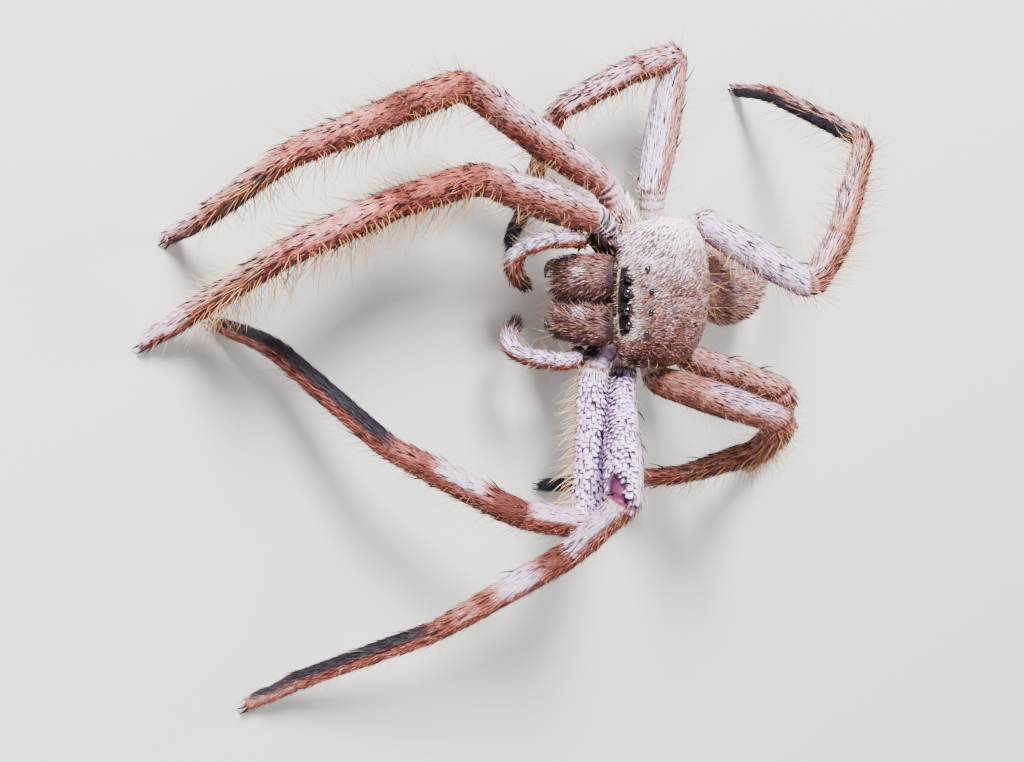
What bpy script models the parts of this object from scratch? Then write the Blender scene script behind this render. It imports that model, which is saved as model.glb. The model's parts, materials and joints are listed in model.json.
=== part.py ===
"""Huntsman spider, life size, standing still on its eight feet.

Frame: the head points to -Y, the spider's left side is +X, up is +Z.
Lengths below are in millimetres and are turned into metres at the end.
"""
import math

import bmesh
import bpy
from mathutils import Matrix, Vector

MM = 0.001
GAP = 0.3            # free gap between two neighbouring pieces

# Prosoma, in its own level frame: z = 0 is the level of the leg bases
BODY_HEIGHT = 8.7    # leg bases above the floor
BODY_PITCH = 8.0     # degrees, head up
CARAPACE_WIDTH = 14.8
CARAPACE_FRONT = -7.4
CARAPACE_REAR = 7.0
CARAPACE_WIDEST = 0.8
CARAPACE_RIM = 1.2   # flat underside
CARAPACE_TOP = 5.4
HEAD_WIDTH = 8.2
HEAD_TOP = 4.7

STERNUM_WIDTH = 6.4
STERNUM_FRONT = -4.6
STERNUM_REAR = 5.4
STERNUM_BOTTOM = -2.5

ABDOMEN_FRONT = 7.2
ABDOMEN_REAR = 20.4
ABDOMEN_WIDTH = 9.7
ABDOMEN_HEIGHT = 7.4
ABDOMEN_LEVEL = -0.9
ABDOMEN_DROOP = 0.12
ABDOMEN_TURN = 0.045  # sideways, to the spider's left

CHELICERA_WIDTH = 4.35
CHELICERA_DEPTH = 3.9
CHELICERA_LENGTH = 6.6
CHELICERA_LEAN = 24.0   # degrees forward of straight down
CHELICERA_CLOSE = 0.22  # how far the ends stand nearer the middle

# Legs: femur, patella, tibia, metatarsus; the tarsus reaches on to the foot
LEG_LENGTHS = {
    "R1": (15.2, 7.8, 13.3, 11.9),
    "R2": (18.1, 7.9, 13.6, 11.8),
    "R3": (13.7, 6.3, 10.3, 10),
    "R4": (13.1, 6.5, 11.8, 12),
    "L1": (14.8, 7.6, 13.5, 13),
    "L2": (17.4, 7.3, 13.9, 13.2),
    "L3": (14.1, 6.3, 10.3, 10.6),
    "L4": (12.7, 6.4, 11.6, 11.9),
}
# Radii: hip, knee, patella, tibia, ankle, metatarsus, wrist, foot
LEG_RADII = {
    1: (1.36, 1.46, 1.43, 1.34, 1.10, 1.10, 0.96, 0.96),
    2: (1.36, 1.40, 1.38, 1.28, 1.02, 1.00, 0.90, 0.95),
    3: (1.42, 1.42, 1.38, 1.22, 0.98, 0.96, 0.88, 0.92),
    4: (1.42, 1.42, 1.40, 1.28, 1.02, 1.00, 0.90, 0.92),
}
# The femora are flattened, so each has the half width that its turn shows
FEMUR_RADII = {"R1": 1.82, "R2": 1.70, "R3": 1.75, "R4": 1.70,
               "L1": 1.36, "L2": 1.36, "L3": 1.72, "L4": 1.50}
# The femora that widen towards the knee, with the half width there
FEMUR_ENDS = {"L2": 1.82}

# Spines: share of the segment's length, and degrees round it from its back
FEMUR_SPINES = ((0.30, 0), (0.56, 8), (0.80, -6), (0.44, 74), (0.72, 66), (0.40, -70), (0.70, -78))
TIBIA_SPINES = ((0.16, 84), (0.52, 92), (0.18, -88), (0.56, -84), (0.34, 150), (0.66, -146))
METATARSUS_SPINES = ((0.14, 104), (0.16, -100), (0.48, 88), (0.50, -92))
SPINE_LENGTH = 2.5
SPINE_RADIUS = 0.24
FOOT_LEVEL = 0.85    # centre of the foot above the floor

# Where each coxa starts at the sternum, on the left side, level frame
COXA_ROOT = {1: (3.5, -4.5, -0.9), 2: (4.0, -1.5, -0.9), 3: (4.0, 1.6, -0.9), 4: (3.5, 4.7, -0.9)}

# Each leg: hip point, then headings of femur, patella, tibia and metatarsus as
# (degrees from straight ahead towards the spider's left, degrees upward), then
# the spot on the floor where the foot stands
STANCE = {
    "R1": ((-7.2, -6.7, 9.2), ((-17, 2.5), (12, -2.5), (14, 15.5), (60, -59)), (0.8, -47.5)),
    "R2": ((-10.5, -6.1, 8.9), ((-29.5, -1), (15.5, 13), (15, 19.5), (66, -62.5)), (-7.4, -45)),
    "R3": ((-9.4, 0.7, 7.9), ((-108.5, -6), (12, 6.5), (22, 1.5), (94, -32.5)), (-5, -10.8)),
    "R4": ((-6.5, 7.1, 8), ((128.5, 53), (-136.5, -4), (-126, -13.5), (-64.5, -63.5)), (-19.4, 20.1)),
    "L1": ((7, -7.2, 8.5), ((69, 20), (-17.5, -5), (-33, -18), (-49.5, -26)), (0, -41.3)),
    "L2": ((7.9, -3.2, 8.3), ((39.5, 41.5), (67, -38), (33.5, -27.5), (19.5, -28)), (34.1, -40.2)),
    "L3": ((8.7, 0.7, 8.4), ((151, 65.5), (115.5, -46), (68.5, -63.5), (3, -31.5)), (20.1, -6.9)),
    "L4": ((7.3, 6.6, 6.5), ((124, 79), (121, -29.5), (129, -46.5), (178, -27.5)), (20.3, 30.5)),
}

COLORS = {
    "fur": ((0.46, 0.33, 0.30, 1.0), 0.75),
    "leg": ((0.50, 0.34, 0.31, 1.0), 0.72),
    "foot": ((0.13, 0.11, 0.12, 1.0), 0.70),
    "jaw": ((0.43, 0.31, 0.30, 1.0), 0.60),
    "fang": ((0.02, 0.015, 0.015, 1.0), 0.22),
    "eye": ((0.01, 0.01, 0.012, 1.0), 0.08),
}


def material(name):
    """Principled material with one of the named finishes."""
    found = bpy.data.materials.get(name)
    if found:
        return found
    color, rough = COLORS[name]
    made = bpy.data.materials.new(name)
    made.use_nodes = True
    shader = made.node_tree.nodes["Principled BSDF"]
    shader.inputs["Base Color"].default_value = color
    shader.inputs["Roughness"].default_value = rough
    made.diffuse_color = color
    return made


def new_collection(name):
    made = bpy.data.collections.new(name)
    bpy.context.scene.collection.children.link(made)
    return made


def add_object(name, bm, finish, group):
    """Turn a bmesh into a named, smooth-shaded object."""
    bmesh.ops.recalc_face_normals(bm, faces=bm.faces)
    mesh = bpy.data.meshes.new(name)
    bm.to_mesh(mesh)
    bm.free()
    mesh.materials.append(material(finish))
    mesh.shade_smooth()
    mesh.set_sharp_from_angle(angle=math.radians(48))
    made = bpy.data.objects.new(name, mesh)
    group.objects.link(made)
    return made


def largest_body(bm):
    """Keep only the largest closed surface of a mesh."""
    left = set(bm.faces)
    bodies = []
    while left:
        stack = [left.pop()]
        body = set(stack)
        while stack:
            face = stack.pop()
            for edge in face.edges:
                for other in edge.link_faces:
                    if other in left:
                        left.discard(other)
                        body.add(other)
                        stack.append(other)
        bodies.append(body)
    bodies.sort(key=lambda faces: sum(f.calc_area() for f in faces))
    extra = [face for body in bodies[:-1] for face in body]
    if extra:
        bmesh.ops.delete(bm, geom=extra, context="FACES")
    loose = [v for v in bm.verts if not v.link_faces]
    if loose:
        bmesh.ops.delete(bm, geom=loose, context="VERTS")


def trim(bm, point, normal):
    """Cut away all that lies on the normal's side of a plane, and close it."""
    geometry = bm.verts[:] + bm.edges[:] + bm.faces[:]
    cut = bmesh.ops.bisect_plane(
        bm, geom=geometry, dist=1e-5, plane_co=point, plane_no=normal, clear_outer=True)
    edges = [e for e in cut["geom_cut"] if isinstance(e, bmesh.types.BMEdge) and e.is_boundary]
    if edges:
        bmesh.ops.holes_fill(bm, edges=edges, sides=0)
    bmesh.ops.dissolve_degenerate(bm, dist=1e-5, edges=bm.edges[:])


def finish_solid(bm):
    """Weld, triangulate the flat cut faces, and keep one closed body."""
    bmesh.ops.remove_doubles(bm, verts=bm.verts[:], dist=0.004)
    bmesh.ops.triangulate(bm, faces=bm.faces[:])
    largest_body(bm)


def shaped_sphere(segments, rings, shape):
    """Sphere with its poles on Y, each of whose points a function moves."""
    bm = bmesh.new()
    bmesh.ops.create_uvsphere(bm, u_segments=segments, v_segments=rings, radius=1.0)
    turn = Matrix.Rotation(math.radians(-90), 3, "X")
    for v in bm.verts:
        v.co = shape(turn @ v.co)
    return bm


def signed_power(value, power):
    return math.copysign(abs(value) ** power, value)


def mix(a, b, t):
    return a + (b - a) * t


def smooth(t):
    t = min(1.0, max(0.0, t))
    return t * t * (3.0 - 2.0 * t)


def body_to_floor(point):
    """From the level frame of the body to the frame of the floor."""
    turn = Matrix.Rotation(math.radians(-BODY_PITCH), 3, "X")
    return turn @ Vector(point) + Vector((0.0, 0.0, BODY_HEIGHT))


def place_on_body(bm):
    for v in bm.verts:
        v.co = body_to_floor(v.co)


def ring_section(p, half_width, bottom, top, square=0.82):
    """Point of a cross-section: domed above, flat below."""
    across = math.hypot(p.x, p.z)
    if across < 1e-6:
        return Vector((0.0, 0.0, mix(bottom, top, 0.45)))
    c, s = p.x / across, p.z / across
    x = half_width * signed_power(c, square)
    if s >= 0:
        z = bottom + (top - bottom) * s ** 0.95
    else:
        z = bottom
        x = half_width * c * 0.94
    return Vector((x, 0.0, z))


def carapace_outline(y):
    """Half width of the carapace at y."""
    half = CARAPACE_WIDTH / 2
    if y >= CARAPACE_WIDEST:
        u = (y - CARAPACE_WIDEST) / (CARAPACE_REAR - CARAPACE_WIDEST)
        return max(0.2, half * max(0.0, 1.0 - u ** 2.25) ** 0.52)
    u = (CARAPACE_WIDEST - y) / (CARAPACE_WIDEST - CARAPACE_FRONT)
    width = mix(HEAD_WIDTH / 2, half, max(0.0, 1.0 - u ** 2.2) ** 0.6)
    return width * (1.0 - 0.10 * smooth((u - 0.9) / 0.1))


def carapace_height(y):
    if y >= -1.0:
        u = (y + 1.0) / (CARAPACE_REAR + 1.0)
        rise = mix(CARAPACE_TOP, CARAPACE_RIM + 0.5, u ** 2.3)
    else:
        u = (-1.0 - y) / (-1.0 - CARAPACE_FRONT)
        rise = mix(CARAPACE_TOP, HEAD_TOP, smooth(u / 0.7))
        rise -= (HEAD_TOP - 2.7) * smooth((u - 0.62) / 0.38) ** 1.4
    return rise


def jaw_plane():
    """Plane between the clypeus and the chelicerae, level frame."""
    return Vector((0.0, -6.9, 1.55)), Vector((0.0, -0.62, -0.785)).normalized()


def build_carapace(group):
    def shape(p):
        t = math.asin(max(-1.0, min(1.0, p.y))) / (math.pi / 2)
        y = mix((CARAPACE_FRONT + CARAPACE_REAR) / 2,
                CARAPACE_REAR if t > 0 else CARAPACE_FRONT, abs(t) ** 0.88)
        if abs(t) > 0.999:
            base = Vector((0.0, 0.0, mix(CARAPACE_RIM, carapace_height(y), 0.45)))
        else:
            base = ring_section(p, carapace_outline(y), CARAPACE_RIM, carapace_height(y))
        base.y = y
        if t < -0.8:
            lift = (base.z - CARAPACE_RIM) / 3.0
            base.y += 0.35 * max(0.0, lift - 0.3)
        return base
    bm = shaped_sphere(36, 24, shape)
    point, normal = jaw_plane()
    trim(bm, point, normal)
    finish_solid(bm)
    place_on_body(bm)
    return add_object("carapace", bm, "fur", group)


def build_sternum(group):
    def shape(p):
        t = math.asin(max(-1.0, min(1.0, p.y))) / (math.pi / 2)
        middle = (STERNUM_FRONT + STERNUM_REAR) / 2
        y = mix(middle, STERNUM_REAR if t > 0 else STERNUM_FRONT, abs(t))
        across = math.hypot(p.x, p.z)
        if across < 1e-6:
            return Vector((0.0, y, -0.8))
        c, s = p.x / across, p.z / across
        width = STERNUM_WIDTH / 2 * (1.0 - abs(t) ** 4.0) ** 0.5
        width = max(width, 0.9)
        top = CARAPACE_RIM - GAP
        z = mix(-0.8, top, s ** 0.4) if s > 0 else mix(-0.8, STERNUM_BOTTOM, (-s) ** 0.8)
        return Vector((width * signed_power(c, 0.6), y, z))
    bm = shaped_sphere(18, 12, shape)
    finish_solid(bm)
    # the two lobes and the lip in front of the sternum, below the jaws
    pieces = []
    for side in (1.0, -1.0):
        pieces.append(turned_capsule((side * 1.15, -3.9, -1.75), (side * 1.55, -5.75, -2.0), [
            (0.0, 0.72), (0.5, 0.80), (1.0, 0.66)], sides=10))
    pieces.append(turned_capsule((0.0, -3.9, -1.9), (0.0, -4.9, -2.1), [(0.0, 0.60), (1.0, 0.50)], sides=10))
    bm = fuse(bm, pieces)
    place_on_body(bm)
    return add_object("sternum", bm, "fur", group)


def build_abdomen(group):
    """Egg-shaped abdomen with its short stalk and six spinnerets."""
    def shape(p):
        t = math.asin(max(-1.0, min(1.0, p.y))) / (math.pi / 2)
        stalk = smooth((-0.72 - t) / 0.2)
        u = (min(1.0, t / 0.86) if t > 0 else max(-1.0, t / 0.80))
        round_off = math.cos(u * math.pi / 2) ** 0.92
        along = math.sin(u * math.pi / 2)
        y = mix(ABDOMEN_FRONT + 0.9, ABDOMEN_REAR, (along + 1.0) / 2.0)
        round_off *= 1.0 + 0.10 * along
        across = math.hypot(p.x, p.z)
        if stalk > 0.0:
            y = mix(ABDOMEN_FRONT + 0.9, ABDOMEN_FRONT - 0.6, (-0.80 - t) / 0.20) if t < -0.80 else y
        level = ABDOMEN_LEVEL - ABDOMEN_DROOP * (y - ABDOMEN_FRONT)
        if across < 1e-6:
            return Vector((ABDOMEN_TURN * (y - ABDOMEN_FRONT), y, level))
        c, s = p.x / across, p.z / across
        half_x = max(ABDOMEN_WIDTH / 2 * round_off, 0.95 * stalk)
        half_z = max(ABDOMEN_HEIGHT / 2 * round_off, 0.80 * stalk)
        if t > 0.86:
            half_x = half_z = 0.0
        return Vector((half_x * c + ABDOMEN_TURN * (y - ABDOMEN_FRONT), y, level + half_z * s))
    bm = shaped_sphere(26, 26, shape)
    bmesh.ops.remove_doubles(bm, verts=bm.verts[:], dist=0.02)
    # the stalk stops short of the carapace and of the last coxae
    trim(bm, Vector((0.0, ABDOMEN_FRONT + 0.05, 0.0)), Vector((0.0, -1.0, 0.0)))
    finish_solid(bm)
    rear = Vector((ABDOMEN_TURN * 12.0, ABDOMEN_REAR - 1.0, ABDOMEN_LEVEL - ABDOMEN_DROOP * 12.0 - 0.9))
    pieces = []
    for x, z, length, radius, spread in (
            (0.55, 0.45, 2.3, 0.46, 8.0), (0.72, -0.75, 2.2, 0.50, 10.0), (0.28, -0.15, 1.9, 0.30, 3.0)):
        for side in (1.0, -1.0):
            way = Vector((side * math.sin(math.radians(spread)), 1.0, -0.30)).normalized()
            start = rear + Vector((side * x, 0.0, z))
            pieces.append(turned_capsule(start, start + way * length, [
                (0.0, radius), (0.55, radius * 0.92), (0.80, radius * 0.7), (1.0, radius * 0.5)], sides=8))
    bm = fuse(bm, pieces)
    place_on_body(bm)
    return add_object("abdomen", bm, "fur", group)


def turned_capsule(start, end, radii, sides=12):
    """Tube through rings of the given radii, as a bevelled curve made a mesh.

    radii is a list of (fraction of the length, radius).
    """
    start, end = Vector(start), Vector(end)
    axis = end - start
    points = []
    first, last = radii[0][1], radii[-1][1]
    way = axis.normalized()
    for step in (0.99, 0.80, 0.45):
        reach = first * step
        points.append((start - way * reach, math.sqrt(first ** 2 - reach ** 2)))
    for share, radius in radii:
        points.append((start + axis * share, radius))
    for step in (0.45, 0.80, 0.99):
        reach = last * step
        points.append((end + way * reach, math.sqrt(last ** 2 - reach ** 2)))
    return tube(points, sides)


def tube(points, sides):
    """Closed tube through (point, radius) pairs."""
    curve = bpy.data.curves.new("path", "CURVE")
    curve.dimensions = "3D"
    curve.bevel_depth = 1.0
    curve.bevel_resolution = (sides - 4) // 2
    curve.use_fill_caps = True
    curve.twist_mode = "MINIMUM"
    spline = curve.splines.new("POLY")
    spline.points.add(len(points) - 1)
    for item, (place, radius) in zip(spline.points, points):
        item.co = (*place, 1.0)
        item.radius = radius
    made = bpy.data.objects.new("path", curve)
    bpy.context.scene.collection.objects.link(made)
    bpy.context.view_layer.update()
    graph = bpy.context.evaluated_depsgraph_get()
    mesh = bpy.data.meshes.new_from_object(made.evaluated_get(graph))
    bm = bmesh.new()
    bm.from_mesh(mesh)
    bmesh.ops.remove_doubles(bm, verts=bm.verts[:], dist=0.001)
    bpy.data.objects.remove(made)
    bpy.data.curves.remove(curve)
    bpy.data.meshes.remove(mesh)
    return bm


def temporary(bm, name, group):
    mesh = bpy.data.meshes.new(name)
    bm.to_mesh(mesh)
    bm.free()
    made = bpy.data.objects.new(name, mesh)
    group.objects.link(made)
    return made


def fuse(body, pieces):
    """One closed body out of a body and the pieces sunk into it."""
    if not pieces:
        return body
    work = new_collection("fusing")
    extra = new_collection("fusing_pieces")
    base = temporary(body, "fusing_body", work)
    for piece in pieces:
        bmesh.ops.recalc_face_normals(piece, faces=piece.faces)
        temporary(piece, "fusing_piece", extra)
    join = base.modifiers.new("join", "BOOLEAN")
    join.operation = "UNION"
    join.operand_type = "COLLECTION"
    join.collection = extra
    join.solver = "EXACT"
    bpy.context.view_layer.update()
    graph = bpy.context.evaluated_depsgraph_get()
    mesh = bpy.data.meshes.new_from_object(base.evaluated_get(graph))
    made = bmesh.new()
    made.from_mesh(mesh)
    bpy.data.meshes.remove(mesh)
    for item in list(extra.objects) + list(work.objects):
        bpy.data.objects.remove(item)
    bpy.data.collections.remove(extra)
    bpy.data.collections.remove(work)
    finish_solid(made)
    return made


def heading(turn, rise):
    """Unit direction from degrees towards the left and degrees upward."""
    a, e = math.radians(turn), math.radians(rise)
    return Vector((math.sin(a) * math.cos(e), -math.cos(a) * math.cos(e), math.sin(e)))


def leg_joints(leg):
    """Hip, knee, patella end, ankle, wrist and foot of one leg."""
    hip, headings, spot = STANCE[leg]
    joints = [Vector(hip)]
    for (turn, rise), length in zip(headings, LEG_LENGTHS[leg]):
        joints.append(joints[-1] + heading(turn, rise) * length)
    joints.append(Vector((spot[0], spot[1], FOOT_LEVEL)))
    return joints


def joint_plane(before, joint, after):
    """Plane that halves the bend at a joint."""
    normal = (joint - before).normalized() + (after - joint).normalized()
    return joint, normal.normalized()


def cut_joint(bm, plane, keep_after):
    point, normal = plane
    if keep_after:
        trim(bm, point + normal * GAP / 2, -normal)
    else:
        trim(bm, point - normal * GAP / 2, normal)


def gap_to_line(point, start, end):
    """Distance from a point to a straight line between two points."""
    way = end - start
    share = max(0.0, min(1.0, (point - start).dot(way) / way.length_squared))
    return (point - start - way * share).length


def is_clear(point, leg, segment):
    """Whether a spine's point is free of the floor, the body and other legs."""
    if point.z < 0.45:
        return False
    level = body_to_floor((0.0, 0.0, 0.0))
    if abs(point.x) < 8.6 and -14.5 < point.y < 20.5 and point.z < level.z + 5.2:
        return False
    for other in STANCE:
        joints = leg_joints(other)
        for place, (start, end) in enumerate(zip(joints, joints[1:])):
            if other == leg and abs(place - segment) <= 1:
                continue
            girth = FEMUR_ENDS.get(other, 1.75) if place == 0 else 1.75
            if gap_to_line(point, start, end) < girth + GAP:
                return False
    return True


def between(point, planes):
    """Whether a point keeps the gap from the joint planes of its piece."""
    (first, along), (second, onward) = planes
    return (point - first).dot(along) > GAP * 1.5 and (second - point).dot(onward) > GAP * 1.5


def spines(leg, segment, ends, radius_at, rows, planes):
    """Spines that stand from a segment and lean towards the foot."""
    start, end = ends
    way = (end - start).normalized()
    side = 1.0 if leg[0] == "L" else -1.0
    back = Vector((0.0, 0.55, 0.85))
    back = (back - way * back.dot(way)).normalized()
    flank = way.cross(back) * side
    pieces = []
    for share, turn in rows:
        out = back * math.cos(math.radians(turn)) + flank * math.sin(math.radians(turn))
        root = start + (end - start) * share
        radius = radius_at(share)
        lean = (out * 0.74 + way * 0.67).normalized()
        for size in (1.0, 0.8, 0.62):
            length = SPINE_LENGTH * size
            foot = root + out * (radius - 0.55)
            tip = foot + lean * (length + 0.6)
            middle = mix(foot, tip, 0.6)
            if all(is_clear(p, leg, segment) and between(p, planes) for p in (middle, tip)):
                bm = bmesh.new()
                bmesh.ops.create_cone(
                    bm, segments=5, radius1=SPINE_RADIUS * 1.12, radius2=0.045,
                    depth=length + 0.6, cap_ends=True)
                turn_to = lean.to_track_quat("Z", "Y").to_matrix()
                for v in bm.verts:
                    v.co = turn_to @ (v.co + Vector((0.0, 0.0, (length + 0.6) / 2))) + foot
                pieces.append(bm)
                break
    return pieces


def coxa_line(leg):
    """Start and end of a coxa's middle line."""
    side = 1.0 if leg[0] == "L" else -1.0
    x, y, z = COXA_ROOT[int(leg[1])]
    return body_to_floor((x * side, y, z)), Vector(STANCE[leg][0])


def part_neighbours(bm, leg):
    """Cut a coxa clear of the coxae beside it, on the plane midway between."""
    start, end = coxa_line(leg)
    for step in (-1, 1):
        other = leg[0] + str(int(leg[1]) + step)
        if other not in STANCE:
            continue
        first, last = coxa_line(other)
        best = None
        for i in range(25):
            here = start + (end - start) * (i / 24)
            for k in range(25):
                there = first + (last - first) * (k / 24)
                if best is None or (there - here).length < (best[1] - best[0]).length:
                    best = (here, there)
        way = (best[1] - best[0]).normalized()
        trim(bm, (best[0] + best[1]) / 2 - way * GAP / 2, way)


def build_leg(leg, group):
    number = int(leg[1])
    side = 1.0 if leg[0] == "L" else -1.0
    joints = leg_joints(leg)
    hip_r, knee_r, patella_r, tibia_r, ankle_r, meta_r, wrist_r, foot_r = LEG_RADII[number]
    femur_r = FEMUR_RADII[leg]
    root = coxa_line(leg)[0]
    planes = [joint_plane(root, joints[0], joints[1])]
    planes += [joint_plane(a, b, c) for a, b, c in zip(joints, joints[1:], joints[2:])]

    coxa = turned_capsule(root, joints[0], [(0.0, 1.40), (0.45, 1.5), (0.72, 1.36), (1.0, hip_r)])
    inward = body_to_floor((side, 0, 0)) - body_to_floor((0, 0, 0))
    trim(coxa, body_to_floor((side * (STERNUM_WIDTH / 2 + GAP), 0.0, 0.0)), -inward)
    up = body_to_floor((0, 0, 1)) - body_to_floor((0, 0, 0))
    trim(coxa, body_to_floor((0.0, 0.0, CARAPACE_RIM - GAP)), up)
    cut_joint(coxa, planes[0], False)
    part_neighbours(coxa, leg)
    finish_solid(coxa)
    add_object(f"leg_{leg}_coxa", coxa, "leg", group)

    end_r = FEMUR_ENDS.get(leg, knee_r)
    swell = 0.55 if leg in FEMUR_ENDS else 0.0
    femur = turned_capsule(joints[0], joints[1], [
        (0.0, hip_r), (0.10, mix(hip_r, femur_r, 0.45)), (0.25, femur_r * 0.97),
        (0.45, mix(femur_r, end_r, swell)), (0.68, mix(femur_r, end_r, max(0.35, swell * 1.7))),
        (0.88, end_r), (1.0, mix(knee_r, end_r, 0.6))])
    cut_joint(femur, planes[0], True)
    cut_joint(femur, planes[1], False)
    finish_solid(femur)
    femur = fuse(femur, spines(
        leg, 0, joints[0:2], lambda t: mix(femur_r, end_r, t), FEMUR_SPINES, planes[0:2]))
    add_object(f"leg_{leg}_femur", femur, "leg", group)

    knee, elbow, ankle = joints[1], joints[2], joints[3]
    way_in, way_out = (elbow - knee), (ankle - elbow)
    points = []
    for step in (0.99, 0.80, 0.45):
        reach = knee_r * step
        points.append((knee - way_in.normalized() * reach, math.sqrt(knee_r ** 2 - reach ** 2)))
    points.append((knee, knee_r))
    points.append((knee + way_in * 0.45, patella_r))
    points.append((knee + way_in * 0.80, patella_r * 0.98))
    bend = elbow + ((knee - elbow).normalized() + (ankle - elbow).normalized()) * 0.18
    points.append((bend, mix(patella_r, tibia_r, 0.5) * 0.97))
    points.append((elbow + way_out * 0.12, tibia_r))
    points.append((elbow + way_out * 0.40, tibia_r))
    points.append((elbow + way_out * 0.75, mix(tibia_r, ankle_r, 0.5)))
    points.append((ankle, ankle_r))
    for step in (0.45, 0.80, 0.99):
        reach = ankle_r * step
        points.append((ankle + way_out.normalized() * reach, math.sqrt(ankle_r ** 2 - reach ** 2)))
    tibia = tube(points, 12)
    cut_joint(tibia, planes[1], True)
    cut_joint(tibia, planes[3], False)
    finish_solid(tibia)
    tibia = fuse(tibia, spines(
        leg, 2, joints[2:4], lambda t: mix(tibia_r, ankle_r, t), TIBIA_SPINES, (planes[1], planes[3])))
    add_object(f"leg_{leg}_tibia", tibia, "leg", group)

    meta = turned_capsule(ankle, joints[4], [
        (0.0, ankle_r), (0.20, meta_r), (0.55, mix(meta_r, wrist_r, 0.4)), (1.0, wrist_r)], sides=10)
    cut_joint(meta, planes[3], True)
    cut_joint(meta, planes[4], False)
    finish_solid(meta)
    meta = fuse(meta, spines(
        leg, 3, joints[3:5], lambda t: mix(meta_r, wrist_r, t), METATARSUS_SPINES, planes[3:5]))
    add_object(f"leg_{leg}_metatarsus", meta, "leg", group)

    tarsus = turned_capsule(joints[4], joints[5], [
        (0.0, wrist_r), (0.35, wrist_r * 0.94), (0.70, wrist_r * 0.98), (1.0, foot_r)], sides=10)
    cut_joint(tarsus, planes[4], True)
    trim(tarsus, Vector((0.0, 0.0, 0.0)), Vector((0.0, 0.0, -1.0)))
    finish_solid(tarsus)
    add_object(f"leg_{leg}_tarsus", tarsus, "foot", group)


def build_chelicera(side, group):
    lean = math.radians(CHELICERA_LEAN)
    down = Vector((0.0, -math.sin(lean), -math.cos(lean)))
    front = Vector((0.0, -math.cos(lean), math.sin(lean)))
    top = Vector((side * CHELICERA_WIDTH / 2, -6.75, 2.2))

    def shape(p):
        t = math.asin(max(-1.0, min(1.0, p.y))) / (math.pi / 2)
        u = (t + 1.0) / 2.0
        swell = math.sin(math.pi * mix(0.14, 0.82, u)) ** 0.28 if 0.001 < u < 0.999 else 0.0
        swell *= mix(1.0, 0.95, smooth((u - 0.5) / 0.5))
        across = math.hypot(p.x, p.z)
        place = top + down * (CHELICERA_LENGTH * u)
        place.x -= side * CHELICERA_CLOSE * smooth(u)
        if across < 1e-6:
            return place
        c, s = p.x / across, p.z / across
        bulge = 1.0 + 0.18 * math.sin(math.pi * u) if s > 0 else 1.0
        place += Vector((1.0, 0.0, 0.0)) * (CHELICERA_WIDTH / 2 * swell * signed_power(c, 0.8))
        place += front * (CHELICERA_DEPTH / 2 * swell * s * bulge)
        return place
    bm = shaped_sphere(18, 14, shape)
    point, normal = jaw_plane()
    trim(bm, point + normal * GAP, -normal)
    trim(bm, Vector((side * GAP / 2, 0.0, 0.0)), Vector((-side, 0.0, 0.0)))
    tip = top + down * (CHELICERA_LENGTH * 0.955)
    trim(bm, tip, down)
    finish_solid(bm)
    place_on_body(bm)
    name = "L" if side > 0 else "R"
    add_object(f"chelicera_{name}", bm, "jaw", group)

    # the fang folds inward below the end of the jaw
    base = tip + Vector((side * 1.05, 0.0, 0.0)) + front * 0.25
    path = []
    steps = 7
    for i in range(steps):
        u = i / (steps - 1)
        sweep = mix(-10.0, 82.0, u ** 0.9)
        reach = 1.15
        across = base.x - side * (1.0 - math.cos(math.radians(max(0.0, sweep)))) * 1.55
        place = Vector((across, base.y, base.z)) + down * (GAP + 0.05 + reach * math.sin(math.radians(sweep + 10)))
        place += front * (-0.25 * u)
        path.append((place, mix(0.55, 0.16, u ** 1.2)))
    fang = tube(path, 10)
    trim(fang, tip + down * GAP, -down)
    trim(fang, Vector((side * GAP / 2, 0.0, 0.0)), Vector((-side, 0.0, 0.0)))
    finish_solid(fang)
    place_on_body(fang)
    add_object(f"fang_{name}", fang, "fang", group)


def build_palp(side, group):
    """Palp beside the jaws: base and mid lengths, then the tarsus end."""
    if side < 0:
        path = [(-5.2, -7.9, -2.0, 0.66), (-5.6, -9.3, -1.1, 0.74), (-5.8, -11.6, -0.7, 0.76),
                (-5.8, -13.8, -1.0, 0.80), (-5.3, -15.4, -1.8, 0.76), (-4.3, -15.9, -2.8, 0.78),
                (-2.8, -15.0, -3.6, 0.80), (-1.7, -13.5, -4.0, 0.64)]
    else:
        path = [(5.2, -7.9, -2.2, 0.66), (5.6, -9.2, -1.6, 0.74), (5.6, -10.9, -1.4, 0.76),
                (5.2, -12.9, -1.8, 0.80), (4.7, -14.7, -2.6, 0.76), (3.9, -15.7, -3.4, 0.78),
                (2.9, -15.4, -4.0, 0.80), (2.1, -14.3, -4.4, 0.64)]
    name = "L" if side > 0 else "R"
    points = [(body_to_floor(p[:3]), p[3]) for p in path]
    middle = 4
    plane = joint_plane(points[middle - 1][0], points[middle][0], points[middle + 1][0])
    whole = []
    first, second = points[0][0], points[1][0]
    last, before = points[-1][0], points[-2][0]
    whole.append((first - (second - first).normalized() * 0.55, 0.50))
    whole += points
    whole.append((last + (last - before).normalized() * 0.42, 0.42))
    whole.append((last + (last - before).normalized() * 0.62, 0.10))
    inner = tube(whole, 10)
    cut_joint(inner, plane, False)
    outer = tube(whole, 10)
    cut_joint(outer, plane, True)
    for bm, label in ((inner, "femur"), (outer, "tarsus")):
        finish_solid(bm)
        add_object(f"palp_{name}_{label}", bm, "leg" if label == "femur" else "foot", group)


EYES = {
    # name: x of the left one, y, radius
    "front_mid": (0.80, -7.02, 0.50),
    "front_side": (2.15, -6.85, 0.42),
    "back_mid": (0.95, -5.55, 0.36),
    "back_side": (2.95, -5.70, 0.42),
}


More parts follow.
